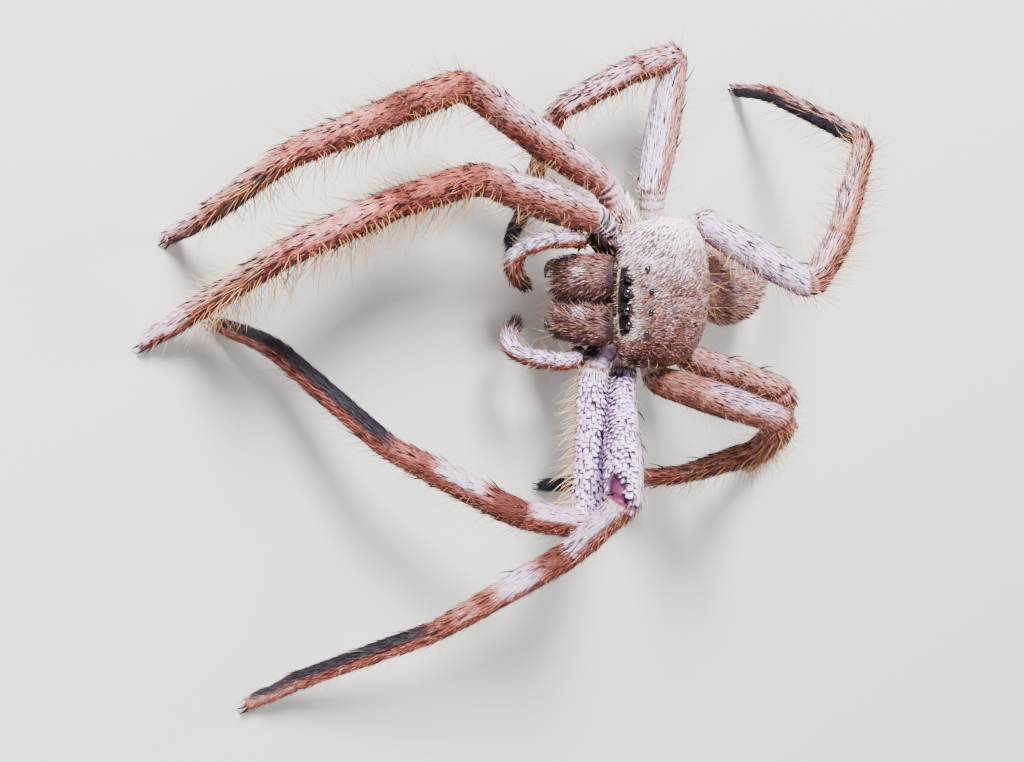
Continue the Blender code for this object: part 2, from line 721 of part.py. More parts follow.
def surface_point(x, y):
    """Point and outward normal on the dome of the carapace, level frame."""
    def height(px, py):
        half = carapace_outline(py)
        c = min(0.999, abs(px) / half) ** (1.0 / 0.82)
        s = math.sqrt(max(0.0, 1.0 - c * c))
        return CARAPACE_RIM + (carapace_height(py) - CARAPACE_RIM) * s ** 0.95
    step = 0.05
    z = height(x, y)
    dx = (height(x + step, y) - height(x - step, y)) / (2 * step)
    dy = (height(x, y + step) - height(x, y - step)) / (2 * step)
    return Vector((x, y, z)), Vector((-dx, -dy, 1.0)).normalized()


def build_eye(name, x, y, radius, group):
    place, normal = surface_point(x, y)
    bm = bmesh.new()
    bmesh.ops.create_uvsphere(bm, u_segments=12, v_segments=8, radius=radius)
    rise = GAP + radius * 0.25
    turn = normal.to_track_quat("Z", "Y").to_matrix()
    for v in bm.verts:
        v.co = turn @ v.co + place + normal * rise
    trim(bm, place + normal * GAP, -normal)
    finish_solid(bm)
    place_on_body(bm)
    add_object(name, bm, "eye", group)


def centre_on_box(group):
    """Move all so that the box's bottom centre is the origin, in metres."""
    low = Vector((1e9, 1e9, 1e9))
    high = -low
    for item in group.objects:
        for v in item.data.vertices:
            low = Vector(map(min, low, v.co))
            high = Vector(map(max, high, v.co))
    shift = Vector(((low.x + high.x) / 2, (low.y + high.y) / 2, low.z))
    for item in group.objects:
        for v in item.data.vertices:
            v.co = (v.co - shift) * MM
        item.data.update()


def main():
    for item in list(bpy.data.objects):
        bpy.data.objects.remove(item)
    group = new_collection("huntsman_spider")
    build_carapace(group)
    build_sternum(group)
    build_abdomen(group)
    for side in (1.0, -1.0):
        build_chelicera(side, group)
        build_palp(side, group)
    for label, (x, y, radius) in EYES.items():
        build_eye(f"eye_{label}_L", x, y, radius, group)
        build_eye(f"eye_{label}_R", -x, y, radius, group)
    for leg in STANCE:
        build_leg(leg, group)
    centre_on_box(group)


main()
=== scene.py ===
"""Huntsman spider: the skin, coat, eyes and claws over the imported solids.

Lengths in the fields below are in millimetres, in the body's own frame: the
head points to -Y, the spider's left is +X, up is +Z and the floor is z = 0.
`to_row` moves them into the frame that the solids were packed in, in metres.
"""
import json
import logging
import math
from dataclasses import dataclass, field
from enum import Enum
from typing import Callable, Iterable, Sequence

import bpy
import numpy as np
from mathutils import Matrix, Vector

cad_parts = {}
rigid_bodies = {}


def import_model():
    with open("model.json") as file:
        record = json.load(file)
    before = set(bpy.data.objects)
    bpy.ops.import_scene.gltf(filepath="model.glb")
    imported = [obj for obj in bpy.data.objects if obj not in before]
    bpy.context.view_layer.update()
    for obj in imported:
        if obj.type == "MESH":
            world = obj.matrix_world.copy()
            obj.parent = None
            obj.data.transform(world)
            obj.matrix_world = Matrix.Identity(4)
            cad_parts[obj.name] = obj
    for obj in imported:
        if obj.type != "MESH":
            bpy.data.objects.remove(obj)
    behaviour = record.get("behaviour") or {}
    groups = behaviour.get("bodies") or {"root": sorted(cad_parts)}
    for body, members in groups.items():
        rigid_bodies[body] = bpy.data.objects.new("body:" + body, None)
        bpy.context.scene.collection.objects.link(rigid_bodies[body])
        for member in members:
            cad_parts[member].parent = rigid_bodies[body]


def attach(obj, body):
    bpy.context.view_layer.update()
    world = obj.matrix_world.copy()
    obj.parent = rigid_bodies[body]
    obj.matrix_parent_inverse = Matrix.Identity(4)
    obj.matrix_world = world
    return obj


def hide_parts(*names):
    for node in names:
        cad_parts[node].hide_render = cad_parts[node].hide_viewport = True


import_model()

log = logging.getLogger("huntsman")

MM = 0.001
ROW_ORIGIN = np.array((5.6595, -8.5179, 0.0))
BODY_HEIGHT = 8.7
BODY_PITCH = math.radians(8.0)
COAT_DEPTH = 0.10
# Direction of the painted light: legs and palps are painted paler on faces turned to it and darker on faces turned
# away.
PAINTED_LIGHT_WAY = np.array((-0.865, -0.291, 0.408))
VIEW_BACK = np.array((-0.200, -0.594, 0.779))
VIEW_LEFT = np.array((-0.007, -0.794, -0.607))

Array = np.ndarray


class Side(Enum):
    """Side of the spider's body."""

    LEFT = 1.0
    RIGHT = -1.0

    @property
    def letter(self) -> str:
        """Letter that the solids' names use for the side."""
        return "L" if self is Side.LEFT else "R"


class Cover(Enum):
    """Kinds of hair, each named as the mark that says how dense it stands."""

    DOWN = "down"
    DASH = "dash"
    SETA = "seta"
    SOLE = "sole"
    SCALE = "scale"
    TUFT = "tuft"


def to_row(points: Array) -> Array:
    """Move points from the body's own frame in millimetres to the row frame.

    Args:
        points: Points, one a row.

    Returns:
        The points in metres.
    """
    return (np.asarray(points, float) - ROW_ORIGIN) * MM


def tilt(points: Array) -> Array:
    """Move points from the level frame of the body to the frame of the floor."""
    p = np.atleast_2d(np.asarray(points, float))
    c, s = math.cos(BODY_PITCH), math.sin(BODY_PITCH)
    y = p[:, 1] * c + p[:, 2] * s
    z = -p[:, 1] * s + p[:, 2] * c + BODY_HEIGHT
    return np.stack((p[:, 0], y, z), axis=1)


def unit(vectors: Array) -> Array:
    """Vectors scaled to length one, along the last axis."""
    v = np.asarray(vectors, float)
    size = np.linalg.norm(v, axis=-1, keepdims=True)
    return v / np.maximum(size, 1e-12)


def mix(a: Array, b: Array, t: Array) -> Array:
    """Value between a and b at the share t."""
    return a + (b - a) * t


def ease(low: float, high: float, value: Array) -> Array:
    """Smooth step from zero at low to one at high."""
    t = np.clip((np.asarray(value, float) - low) / (high - low), 0.0, 1.0)
    return t * t * (3.0 - 2.0 * t)


def hump(value: Array, width: float) -> Array:
    """Bell curve of height one about zero."""
    return np.exp(-((np.asarray(value, float) / width) ** 2))


def linear(red: int, green: int, blue: int) -> tuple[float, float, float, float]:
    """Colour for a shader from the 0 to 255 values seen on a screen.

    Args:
        red: Red as seen.
        green: Green as seen.
        blue: Blue as seen.

    Returns:
        The colour in linear light, opaque.
    """
    values = []
    for channel in (red, green, blue):
        c = channel / 255.0
        values.append(c / 12.92 if c <= 0.04045 else ((c + 0.055) / 1.055) ** 2.4)
    return (values[0], values[1], values[2], 1.0)


@dataclass
class Surface:
    """A closed surface with its unwrap and the marks that coat and colour read."""

    points: Array
    faces: list[tuple[int, ...]]
    wraps: Array
    marks: dict[str, Array] = field(default_factory=dict)

    def normals(self) -> Array:
        """Normal at each point, from the faces about it."""
        total = np.zeros_like(self.points)
        for size in (3, 4):
            index = np.array([f for f in self.faces if len(f) == size], int)
            if not len(index):
                continue
            p = self.points[index]
            across = p[:, 2] - p[:, 0]
            other = (p[:, 3] - p[:, 1]) if size == 4 else (p[:, 2] - p[:, 1])
            face = np.cross(across, other) if size == 4 else np.cross(p[:, 1] - p[:, 0], across)
            for corner in range(size):
                np.add.at(total, index[:, corner], face)
        return unit(total)

    def volume(self) -> float:
        """Signed volume, above zero where the faces point outwards."""
        total = 0.0
        for f in self.faces:
            a = self.points[f[0]]
            for i in range(1, len(f) - 1):
                total += float(np.dot(a, np.cross(self.points[f[i]], self.points[f[i + 1]])))
        return total / 6.0

    def face_outwards(self) -> "Surface":
        """Turn the faces round if they point inwards, and return itself."""
        if self.volume() < 0:
            start = 0
            wraps = self.wraps.copy()
            for f in self.faces:
                wraps[start:start + len(f)] = self.wraps[start:start + len(f)][::-1]
                start += len(f)
            self.wraps = wraps
            self.faces = [tuple(reversed(f)) for f in self.faces]
        return self

    def build(self, name: str, material: bpy.types.Material) -> bpy.types.Object:
        """Make the mesh object, smooth shaded, in the row frame.

        Args:
            name: Name of the object.
            material: Finish of all its faces.

        Returns:
            The new object.
        """
        mesh = bpy.data.meshes.new(name)
        mesh.from_pydata(to_row(self.points).tolist(), [], self.faces)
        layer = mesh.uv_layers.new(name="UVMap")
        layer.data.foreach_set("uv", self.wraps.astype(np.float32).ravel())
        for key, values in self.marks.items():
            kind = "FLOAT_VECTOR" if values.ndim == 2 else "FLOAT"
            mark = mesh.attributes.new(key, kind, "POINT")
            slot = "vector" if values.ndim == 2 else "value"
            mark.data.foreach_set(slot, values.astype(np.float32).ravel())
        mesh.materials.append(material)
        mesh.shade_smooth()
        made = bpy.data.objects.new(name, mesh)
        bpy.context.scene.collection.objects.link(made)
        return made


def joined(surfaces: Sequence[Surface]) -> Surface:
    """Lay surfaces side by side in one, each in its own column of the unwrap.

    Args:
        surfaces: Surfaces with the same marks.

    Returns:
        One surface that holds them all.
    """
    points, faces, wraps = [], [], []
    count = 0
    columns = len(surfaces)
    for place, item in enumerate(surfaces):
        points.append(item.points)
        faces += [tuple(i + count for i in f) for f in item.faces]
        count += len(item.points)
        moved = item.wraps.copy()
        moved[:, 0] = (place + 0.04 + moved[:, 0] * 0.92) / columns
        wraps.append(moved)
    marks = {k: np.concatenate([s.marks[k] for s in surfaces]) for k in surfaces[0].marks}
    return Surface(np.concatenate(points), faces, np.concatenate(wraps), marks)


def ring_surface(rings: Array, first: Array, last: Array, shares: Array) -> Surface:
    """Closed surface through rings of points and a point at each end.

    Args:
        rings: Array of rings, points round each ring, and coordinates.
        first: Point that closes the start.
        last: Point that closes the end.
        shares: Height of each ring in the unwrap, from 0 to 1.

    Returns:
        The surface, facing outwards.
    """
    count, sides, _ = rings.shape
    points = np.concatenate((rings.reshape(-1, 3), [first], [last]))
    start, end = count * sides, count * sides + 1
    faces: list[tuple[int, ...]] = []
    wraps: list[tuple[float, float]] = []
    for i in range(count - 1):
        for k in range(sides):
            n = (k + 1) % sides
            faces.append((i * sides + k, i * sides + n, (i + 1) * sides + n, (i + 1) * sides + k))
            u0, u1 = k / sides, (k + 1) / sides
            wraps += [(u0, shares[i]), (u1, shares[i]), (u1, shares[i + 1]), (u0, shares[i + 1])]
    for k in range(sides):
        n = (k + 1) % sides
        u0, u1 = k / sides, (k + 1) / sides
        faces.append((start, n, k))
        wraps += [((u0 + u1) / 2, 0.0), (u1, shares[0]), (u0, shares[0])]
        faces.append((end, (count - 1) * sides + k, (count - 1) * sides + n))
        wraps += [((u0 + u1) / 2, 1.0), (u0, shares[-1]), (u1, shares[-1])]
    return Surface(points, faces, np.array(wraps)).face_outwards()


def turned_frames(path: Array, up: Array) -> tuple[Array, Array, Array]:
    """Tangent, side and back vectors along a path, with no twist between them.

    Args:
        path: Points along the path.
        up: Direction that the back starts from.

    Returns:
        Tangents, side vectors and back vectors.
    """
    way = unit(np.gradient(path, axis=0))
    backs = np.zeros_like(way)
    back = up - way[0] * np.dot(up, way[0])
    for i, t in enumerate(way):
        back = back - t * np.dot(back, t)
        back = back / max(1e-9, float(np.linalg.norm(back)))
        backs[i] = back
    return way, np.cross(way, backs), backs


def marks_like(count: int) -> dict[str, Array]:
    """The marks that every skin carries, all at rest."""
    names = ("bloom", "red", "body", "dusk", "joint", "blot", "white", "rust", "plum", "black",
             "long", "stroke", "down", "dash", "seta", "sole", "scale", "tuft")
    marks = {name: np.zeros(count) for name in names}
    marks["long"][:] = 1.0
    marks["stroke"][:] = 1.0
    marks["shade"] = np.full(count, 0.5)
    marks["lie"] = np.zeros((count, 3))
    marks["grain"] = np.zeros((count, 3))
    return marks


class NodeSheet:
    """Short way to lay out nodes and link them by socket name."""

    def __init__(self, tree: bpy.types.NodeTree) -> None:
        """Start on a node tree, which is emptied.

        Args:
            tree: Tree to fill.
        """
        self.tree = tree
        tree.nodes.clear()

    def add(self, kind: str, inputs: dict | None = None, **settings: object) -> bpy.types.Node:
        """Add a node, set it up and feed its inputs.

        Args:
            kind: Type name of the node.
            inputs: Values or output sockets by socket name or number.
            settings: Properties of the node.

        Returns:
            The node.
        """
        node = self.tree.nodes.new(kind)
        for key, value in settings.items():
            setattr(node, key, value)
        for key, value in (inputs or {}).items():
            self.feed(node, key, value)
        return node

    def feed(self, node: bpy.types.Node, key: str | int, value: object) -> None:
        """Give one input of a node a value or a link.

        Args:
            node: Node to feed.
            key: Name or number of the input among those in use.
            value: Number, colour, data block or output socket.
        """
        live = [s for s in node.inputs if s.enabled]
        socket = live[key] if isinstance(key, int) else next(s for s in live if s.name == key)
        if isinstance(value, bpy.types.NodeSocket):
            self.tree.links.new(value, socket)
        else:
            socket.default_value = value

    @staticmethod
    def out(node: bpy.types.Node, key: str | int = 0) -> bpy.types.NodeSocket:
        """An output in use, by name or number."""
        live = [s for s in node.outputs if s.enabled]
        return live[key] if isinstance(key, int) else next(s for s in live if s.name == key)


class Paint(NodeSheet):
    """Node sheet of a material, with the mixes that the finishes share."""

    def __init__(self, name: str) -> None:
        """Make a new material with its shader.

        Args:
            name: Name of the material.
        """
        self.material = bpy.data.materials.new(name)
        self.material.use_nodes = True
        super().__init__(self.material.node_tree)
        self.shader = self.add("ShaderNodeBsdfPrincipled")
        out = self.add("ShaderNodeOutputMaterial")
        self.tree.links.new(self.shader.outputs[0], out.inputs[0])

    def mark(self, name: str) -> bpy.types.NodeSocket:
        """Strength of a mark on the surface."""
        return self.out(self.add("ShaderNodeAttribute", attribute_name=name), "Fac")

    def vector_mark(self, name: str) -> bpy.types.NodeSocket:
        """A mark that is a vector."""
        return self.out(self.add("ShaderNodeAttribute", attribute_name=name), "Vector")

    def place(self) -> bpy.types.NodeSocket:
        """Place on the object."""
        return self.out(self.add("ShaderNodeTexCoord"), "Object")

    def math(self, operation: str, a: object, b: object = 0.0) -> bpy.types.NodeSocket:
        """One step of arithmetic."""
        return self.out(self.add("ShaderNodeMath", {0: a, 1: b}, operation=operation))

    def blend(self, share: object, a: object, b: object) -> bpy.types.NodeSocket:
        """Colour between a and b."""
        node = self.add("ShaderNodeMix", data_type="RGBA")
        self.feed(node, 0, share)
        self.feed(node, 1, a)
        self.feed(node, 2, b)
        return self.out(node)

    def step(self, value: object, low: float, high: float) -> bpy.types.NodeSocket:
        """Smooth step of a value from 0 at low to 1 at high."""
        return self.out(self.add(
            "ShaderNodeMapRange", {0: value, 1: low, 2: high, 3: 0.0, 4: 1.0},
            interpolation_type="SMOOTHSTEP"))

    def noise(self, where: object, scale: float, detail: float = 3.0) -> bpy.types.NodeSocket:
        """Soft random pattern from 0 to 1."""
        return self.out(self.add(
            "ShaderNodeTexNoise", {"Vector": where, "Scale": scale, "Detail": detail}), 0)

    def stretched(self, where: object, scale: tuple[float, float, float]) -> bpy.types.NodeSocket:
        """Coordinates scaled apart along their axes."""
        return self.out(self.add("ShaderNodeMapping", {"Vector": where, "Scale": scale}))


@dataclass(frozen=True)
class Ramp:
    """Three colours, from the shaded to the palest."""

    low: tuple[int, int, int]
    middle: tuple[int, int, int]
    high: tuple[int, int, int]

    def lay(self, sheet: Paint, share: bpy.types.NodeSocket) -> bpy.types.NodeSocket:
        """Colour at a share from 0 to 1."""
        color = sheet.blend(sheet.step(share, 0.05, 0.45), linear(*self.low), linear(*self.middle))
        return sheet.blend(sheet.step(share, 0.42, 0.90), color, linear(*self.high))


@dataclass(frozen=True)
class Markings:
    """Colours of the spider, shared by the skin and all the hair on it."""

    leg: Ramp = Ramp((148, 72, 56), (200, 136, 126), (234, 212, 248))
    red: Ramp = Ramp((126, 42, 34), (188, 86, 72), (228, 156, 144))
    body: Ramp = Ramp((104, 58, 44), (184, 132, 122), (246, 230, 246))
    slate: tuple[int, int, int] = (22, 27, 38)
    seam: tuple[int, int, int] = (34, 11, 13)
    blot: tuple[int, int, int] = (84, 40, 32)
    rust: tuple[int, int, int] = (176, 72, 30)
    plum: tuple[int, int, int] = (84, 28, 66)
    white: tuple[int, int, int] = (238, 224, 228)
    black: tuple[int, int, int] = (5, 3, 4)

    def lay(self, sheet: Paint) -> bpy.types.NodeSocket:
        """Colour of the spot, from the marks of the skin.

        Args:
            sheet: Sheet of the material.

        Returns:
            The colour socket.
        """
        cloud = sheet.noise(sheet.place(), 700.0, 3.0)
        wander = sheet.math("MULTIPLY", sheet.math("SUBTRACT", cloud, 0.5), 0.60)
        # The paleness mark holds real pale markings and, on the sides turned to the light, painted highlight; the blot,
        # joint and black marks hold real marks and, in places, painted shade.
        bloom = sheet.math("ADD", sheet.mark("bloom"), wander)
        tone = sheet.math("MULTIPLY", sheet.math("SUBTRACT", sheet.mark("shade"), 0.5), 0.55)
        bloom = sheet.math("ADD", bloom, tone)
        color = sheet.blend(sheet.mark("red"), self.leg.lay(sheet, bloom), self.red.lay(sheet, bloom))
        color = sheet.blend(sheet.mark("body"), color, self.body.lay(sheet, bloom))
        for name, tint in (("rust", self.rust), ("white", self.white), ("blot", self.blot),
                           ("dusk", self.slate), ("joint", self.seam), ("plum", self.plum),
                           ("black", self.black)):
            color = sheet.blend(sheet.mark(name), color, linear(*tint))
        return color


@dataclass(frozen=True)
class HideFinish:
    """Skin under the hair."""

    name: str
    depth: float = 0.55
    roughness: float = 0.6
    markings: Markings = Markings()

    def make(self) -> bpy.types.Material:
        """Build the material."""
        sheet = Paint(self.name)
        color = self.markings.lay(sheet)
        grain = sheet.vector_mark("grain")
        streaks = sheet.noise(sheet.stretched(grain, (6.5, 1.1, 6.5)), 1.0, 2.0)
        dark = sheet.math("ADD", sheet.math("MULTIPLY", sheet.step(streaks, 0.62, 0.38), self.depth), 0.34)
        clear = sheet.math("SUBTRACT", 1.12, sheet.math("MULTIPLY", sheet.mark("bloom"), 0.72))
        color = sheet.blend(sheet.math("MULTIPLY", dark, clear), color, linear(62, 28, 26))
        # Under the scales the hide turns dark purple, partly its own colour and partly painted shade in the gaps
        # between scales.
        scaly = sheet.math("MULTIPLY", sheet.step(sheet.mark("scale"), 0.55, 0.95), 0.75)
        color = sheet.blend(scaly, color, linear(70, 42, 78))
        # The dark marks, painted shade among them, are laid again over the darkened hide.
        tints = self.markings
        for name, tint in (("dusk", tints.slate), ("joint", tints.seam), ("plum", tints.plum),
                           ("black", tints.black)):
            color = sheet.blend(sheet.mark(name), color, linear(*tint))
        sheet.feed(sheet.shader, "Base Color", color)
        sheet.shader.inputs["Specular IOR Level"].default_value = 0.25
        gloss = sheet.add("ShaderNodeMapRange", {
            0: sheet.mark("plum"), 1: 0.3, 2: 0.9, 3: self.roughness, 4: 0.26})
        sheet.feed(sheet.shader, "Roughness", sheet.out(gloss))
        fine = sheet.noise(sheet.stretched(grain, (9.0, 2.0, 9.0)), 1.0, 3.0)
        bump = sheet.add("ShaderNodeBump", {"Strength": 0.6, "Distance": 0.00015, "Height": fine})
        sheet.feed(sheet.shader, "Normal", sheet.out(bump))
        return sheet.material


@dataclass(frozen=True)
class HairFinish:
    """Finish of one kind of hair: the markings below, drawn towards its own colour."""

    name: str
    dull: tuple[int, int, int]
    bright: tuple[int, int, int]
    own: float = 0.5
    roughness: float = 0.5
    shine: float = 0.5
    follow: float = 1.0
    edge: float = 0.0
    markings: Markings = Markings()

    def make(self) -> bpy.types.Material:
        """Build the material."""
        sheet = Paint(self.name)
        below = self.markings.lay(sheet)
        tone = sheet.math("ADD", sheet.math("MULTIPLY", sheet.mark("bloom"), 0.6), sheet.math(
            "MULTIPLY", sheet.mark("shade"), 0.4))
        tint = sheet.blend(sheet.step(tone, 0.15, 0.75), linear(*self.dull), linear(*self.bright))
        color = sheet.blend(self.own, below, tint)
        dark = sheet.math("MAXIMUM", sheet.mark("dusk"), sheet.mark("black"))
        dark = sheet.math("MAXIMUM", dark, sheet.math("MAXIMUM", sheet.mark("blot"), sheet.mark("plum")))
        color = sheet.blend(sheet.math("MULTIPLY", dark, self.follow), color, below)
        # The scale tips darken, partly real dark edging and partly painted shadow of the crescent under each scale.
        if self.edge:
            end = sheet.math("MULTIPLY", sheet.step(sheet.mark("rise"), 0.66, 0.88), self.edge)
            color = sheet.blend(end, color, linear(52, 34, 62))
        sheet.feed(sheet.shader, "Base Color", color)
        sheet.shader.inputs["Roughness"].default_value = self.roughness
        sheet.shader.inputs["Specular IOR Level"].default_value = self.shine
        return sheet.material


@dataclass(frozen=True)
class GlossFinish:
    """Smooth dark shell, as on eyes, fangs and claws."""

    name: str
    color: tuple[int, int, int]
    roughness: float = 0.08
    coat: float = 0.0

    def make(self) -> bpy.types.Material:
        """Build the material."""
        sheet = Paint(self.name)
        cloud = sheet.noise(sheet.place(), 4200.0, 3.0)
        faded = tuple(18 + 3 * part // 2 for part in self.color)
        color = sheet.blend(sheet.step(cloud, 0.42, 0.74), linear(*self.color), linear(*faded))
        sheet.feed(sheet.shader, "Base Color", color)
        worn = sheet.add("ShaderNodeMapRange", {
            0: cloud, 1: 0.35, 2: 0.7, 3: self.roughness, 4: self.roughness * 1.9})
        sheet.feed(sheet.shader, "Roughness", sheet.out(worn))
        sheet.shader.inputs["Coat Weight"].default_value = self.coat
        return sheet.material


def head_half_width(y: Array) -> Array:
    """Half width of the carapace at y, in the level frame."""
    y = np.asarray(y, float)
    half, widest, rear, front, head = 7.4, 0.8, 7.0, -7.4, 4.1
    u = np.clip((y - widest) / (rear - widest), 0.0, 1.0)
    back = np.maximum(0.2, half * np.maximum(0.0, 1.0 - u ** 2.25) ** 0.52)
    u = np.clip((widest - y) / (widest - front), 0.0, 1.0)
    fore = mix(head, half, np.maximum(0.0, 1.0 - u ** 2.2) ** 0.6)
    fore = fore * (1.0 - 0.10 * ease(0.9, 1.0, u))
    return np.where(y >= widest, back, fore)


def head_height(y: Array) -> Array:
    """Height of the carapace's dome at y, in the level frame."""
    y = np.asarray(y, float)
    top, rim, head, rear, front = 5.4, 1.2, 4.7, 7.0, -7.4
    u = np.clip((y + 1.0) / (rear + 1.0), 0.0, 1.0)
    back = mix(top, rim + 0.5, u ** 2.3)
    u = np.clip((-1.0 - y) / (-1.0 - front), 0.0, 1.0)
    fore = mix(top, head, ease(0.0, 0.7, u))
    fore = fore - (head - 2.7) * ease(0.62, 1.0, u) ** 1.4
    return np.where(y >= -1.0, back, fore)


def dome_point(x: float, y: float) -> tuple[Array, Array]:
    """Point and outward normal on the dome of the carapace, level frame.

    Args:
        x: Place across the carapace.
        y: Place along the carapace.

    Returns:
        The point and the unit normal there.
    """
    def height(px: float, py: float) -> float:
        half = float(head_half_width(py))
        c = min(0.999, abs(px) / half) ** (1.0 / 0.82)
        s = math.sqrt(max(0.0, 1.0 - c * c))
        return 1.2 + (float(head_height(py)) - 1.2) * s ** 0.95
    step = 0.05
    dx = (height(x + step, y) - height(x - step, y)) / (2 * step)
    dy = (height(x, y + step) - height(x, y - step)) / (2 * step)
    return np.array((x, y, height(x, y))), unit(np.array((-dx, -dy, 1.0)))


EYE_PLACES: dict[str, tuple[float, float, float]] = {
    "front_mid": (0.80, -7.02, 0.50),
    "front_side": (2.15, -6.85, 0.42),
    "back_mid": (0.95, -5.55, 0.36),
    "back_side": (2.95, -5.70, 0.42),
}


@dataclass
class Carapace:
    """Shield over the front of the body, with the eye field and the fovea."""

    front: float = -7.4
    rear: float = 7.0
    rim: float = 1.2
    sides: int = 120
    rows: int = 96

    def surface(self) -> Surface:
        """Shape the dome and mark its hair and colours."""
        t = np.linspace(-1.0, 1.0, self.rows + 2)[1:-1]
        t = np.sign(t) * np.abs(t) ** 0.9
        middle = (self.front + self.rear) / 2
        end = np.where(t > 0, self.rear, self.front)
        y = mix(middle, end, np.sin(np.abs(t) * math.pi / 2) ** 1.25 * 0.35 + np.abs(t) * 0.65)
        angle = np.linspace(0.0, 2 * math.pi, self.sides, endpoint=False)
        c, s = np.cos(angle)[None, :], np.sin(angle)[None, :]
        half = (head_half_width(y) - COAT_DEPTH)[:, None]
        top = (head_height(y) - COAT_DEPTH)[:, None]
        close = np.sqrt(np.clip(1.0 - np.abs(t) ** 14, 0.0, 1.0))[:, None]
        x = half * np.sign(c) * np.abs(c) ** 0.82
        z = self.rim + (top - self.rim) * np.maximum(s, 0.0) ** 0.95
        x = np.where(s < 0, half * c * 0.94, x) * close
        z = mix(mix(self.rim, top, 0.45), z, close)
        z = np.where(s < 0, self.rim + 0.05 + 0.0 * z, z)
        rings = np.stack((x, np.broadcast_to(y[:, None], x.shape), z), axis=2)
        first = np.array((0.0, self.front, mix(self.rim, float(head_height(self.front)), 0.45)))
        last = np.array((0.0, self.rear, mix(self.rim, float(head_height(self.rear)), 0.45)))
        made = ring_surface(rings, first, last, (y - self.front) / (self.rear - self.front))
        p = made.points
        self.engrave(p)
        self.flatten_front(p)
        made.marks = self.marks(p, made)
        made.points = tilt(p)
        made.marks["lie"] = tilt(made.marks["lie"]) - np.array((0.0, 0.0, BODY_HEIGHT))
        return made

    def engrave(self, p: Array) -> None:
        """Cut the fovea and the shallow rays about it, and raise the eye mounds.

        Args:
            p: Points in the level frame, changed in place.
        """
        above = ease(self.rim + 0.3, self.rim + 1.2, p[:, 2])
        groove = hump(p[:, 0], 0.16) * ease(1.4, 2.0, p[:, 1]) * ease(4.3, 3.7, p[:, 1])
        p[:, 2] -= 0.30 * groove * above
        turn = np.arctan2(p[:, 0], -(p[:, 1] - 2.6))
        reach = np.hypot(p[:, 0], p[:, 1] - 2.6)
        rays = (0.5 + 0.5 * np.cos(turn * 8.0)) ** 3
        p[:, 2] -= 0.10 * rays * ease(0.8, 2.2, reach) * ease(6.4, 4.6, reach) * above
        for x, y, radius in EYE_PLACES.values():
            for side in (1.0, -1.0):
                near = np.hypot(p[:, 0] - side * x, p[:, 1] - y)
                p[:, 2] += 0.16 * hump(near, radius * 1.5) * above

    def flatten_front(self, p: Array) -> None:
        """Press what lies past the plane above the jaws flat onto it.

        Args:
            p: Points in the level frame, changed in place.
        """
        normal = unit(np.array((0.0, -0.62, -0.785)))
        past = (p - np.array((0.0, -6.9, 1.55))) @ normal
        p -= np.maximum(past, 0.0)[:, None] * normal

    def marks(self, p: Array, made: Surface) -> dict[str, Array]:
        """Marks of the carapace, from its points in the level frame."""
        marks = marks_like(len(p))
        normal = made.normals()
        top = ease(self.rim + 0.1, self.rim + 0.5, p[:, 2])
        x, y = p[:, 0], p[:, 1]
        # Painted light: the dome is paler on the faces and the front corner turned to the light, and darker on the
        # faces turned away.
        bloom = 0.34 + 0.58 * ease(0.25, 0.95, normal @ unit(np.array((-0.86, -0.20, 0.47))))
        bloom += 0.25 * ease(-1.0, -4.5, x) * ease(1.5, -5.0, y)
        bloom -= 0.22 * ease(-0.05, 0.75, normal @ unit(np.array((0.95, 0.1, -0.1))))
        marks["bloom"] = np.clip(bloom, 0.02, 1.0)
        marks["body"][:] = 1.0
        wave = 0.15 * np.sin(x * 4.3 + 0.4) + 0.10 * np.sin(x * 9.7 + 1.0)
        band = ease(-6.62, -6.74, y + wave) * ease(3.35, 3.1, np.abs(x)) * ease(2.05, 2.2, p[:, 2])
        marks["black"] = np.clip(band, 0.0, 1.0)
        edge = hump(p[:, 2] - 1.98, 0.13) * ease(-6.4, -6.8, y) * ease(3.6, 3.2, np.abs(x))
        marks["black"] *= 1.0 - edge
        lumps = 0.50 + 0.70 * np.sin(x * 3.3 + 0.6) * np.sin(y * 4.1 + x)
        patch = ease(-6.66, -6.50, y + wave) * ease(-6.0, -6.35, y) * ease(3.3, 2.6, np.abs(x)) * lumps
        patch += 1.0 * hump(np.hypot(np.abs(x) - 3.1, y + 6.3), 0.50)
        patch += 0.6 * hump(np.hypot(np.abs(x) - 1.7, y + 6.0), 0.35) * lumps
        patch = np.clip(patch * 1.25, 0.0, 1.0) * (1.0 - marks["black"])
        marks["white"] = np.clip(0.95 * patch + 0.7 * edge, 0.0, 0.95)
        rim = ease(2.5, 1.9, p[:, 2]) * ease(1.25, 1.4, p[:, 2]) * ease(3.2, 4.2, np.abs(x)) * ease(4.5, 3.0, y)
        marks["tuft"] = np.clip(patch + 0.65 * rim, 0.0, 1.0)
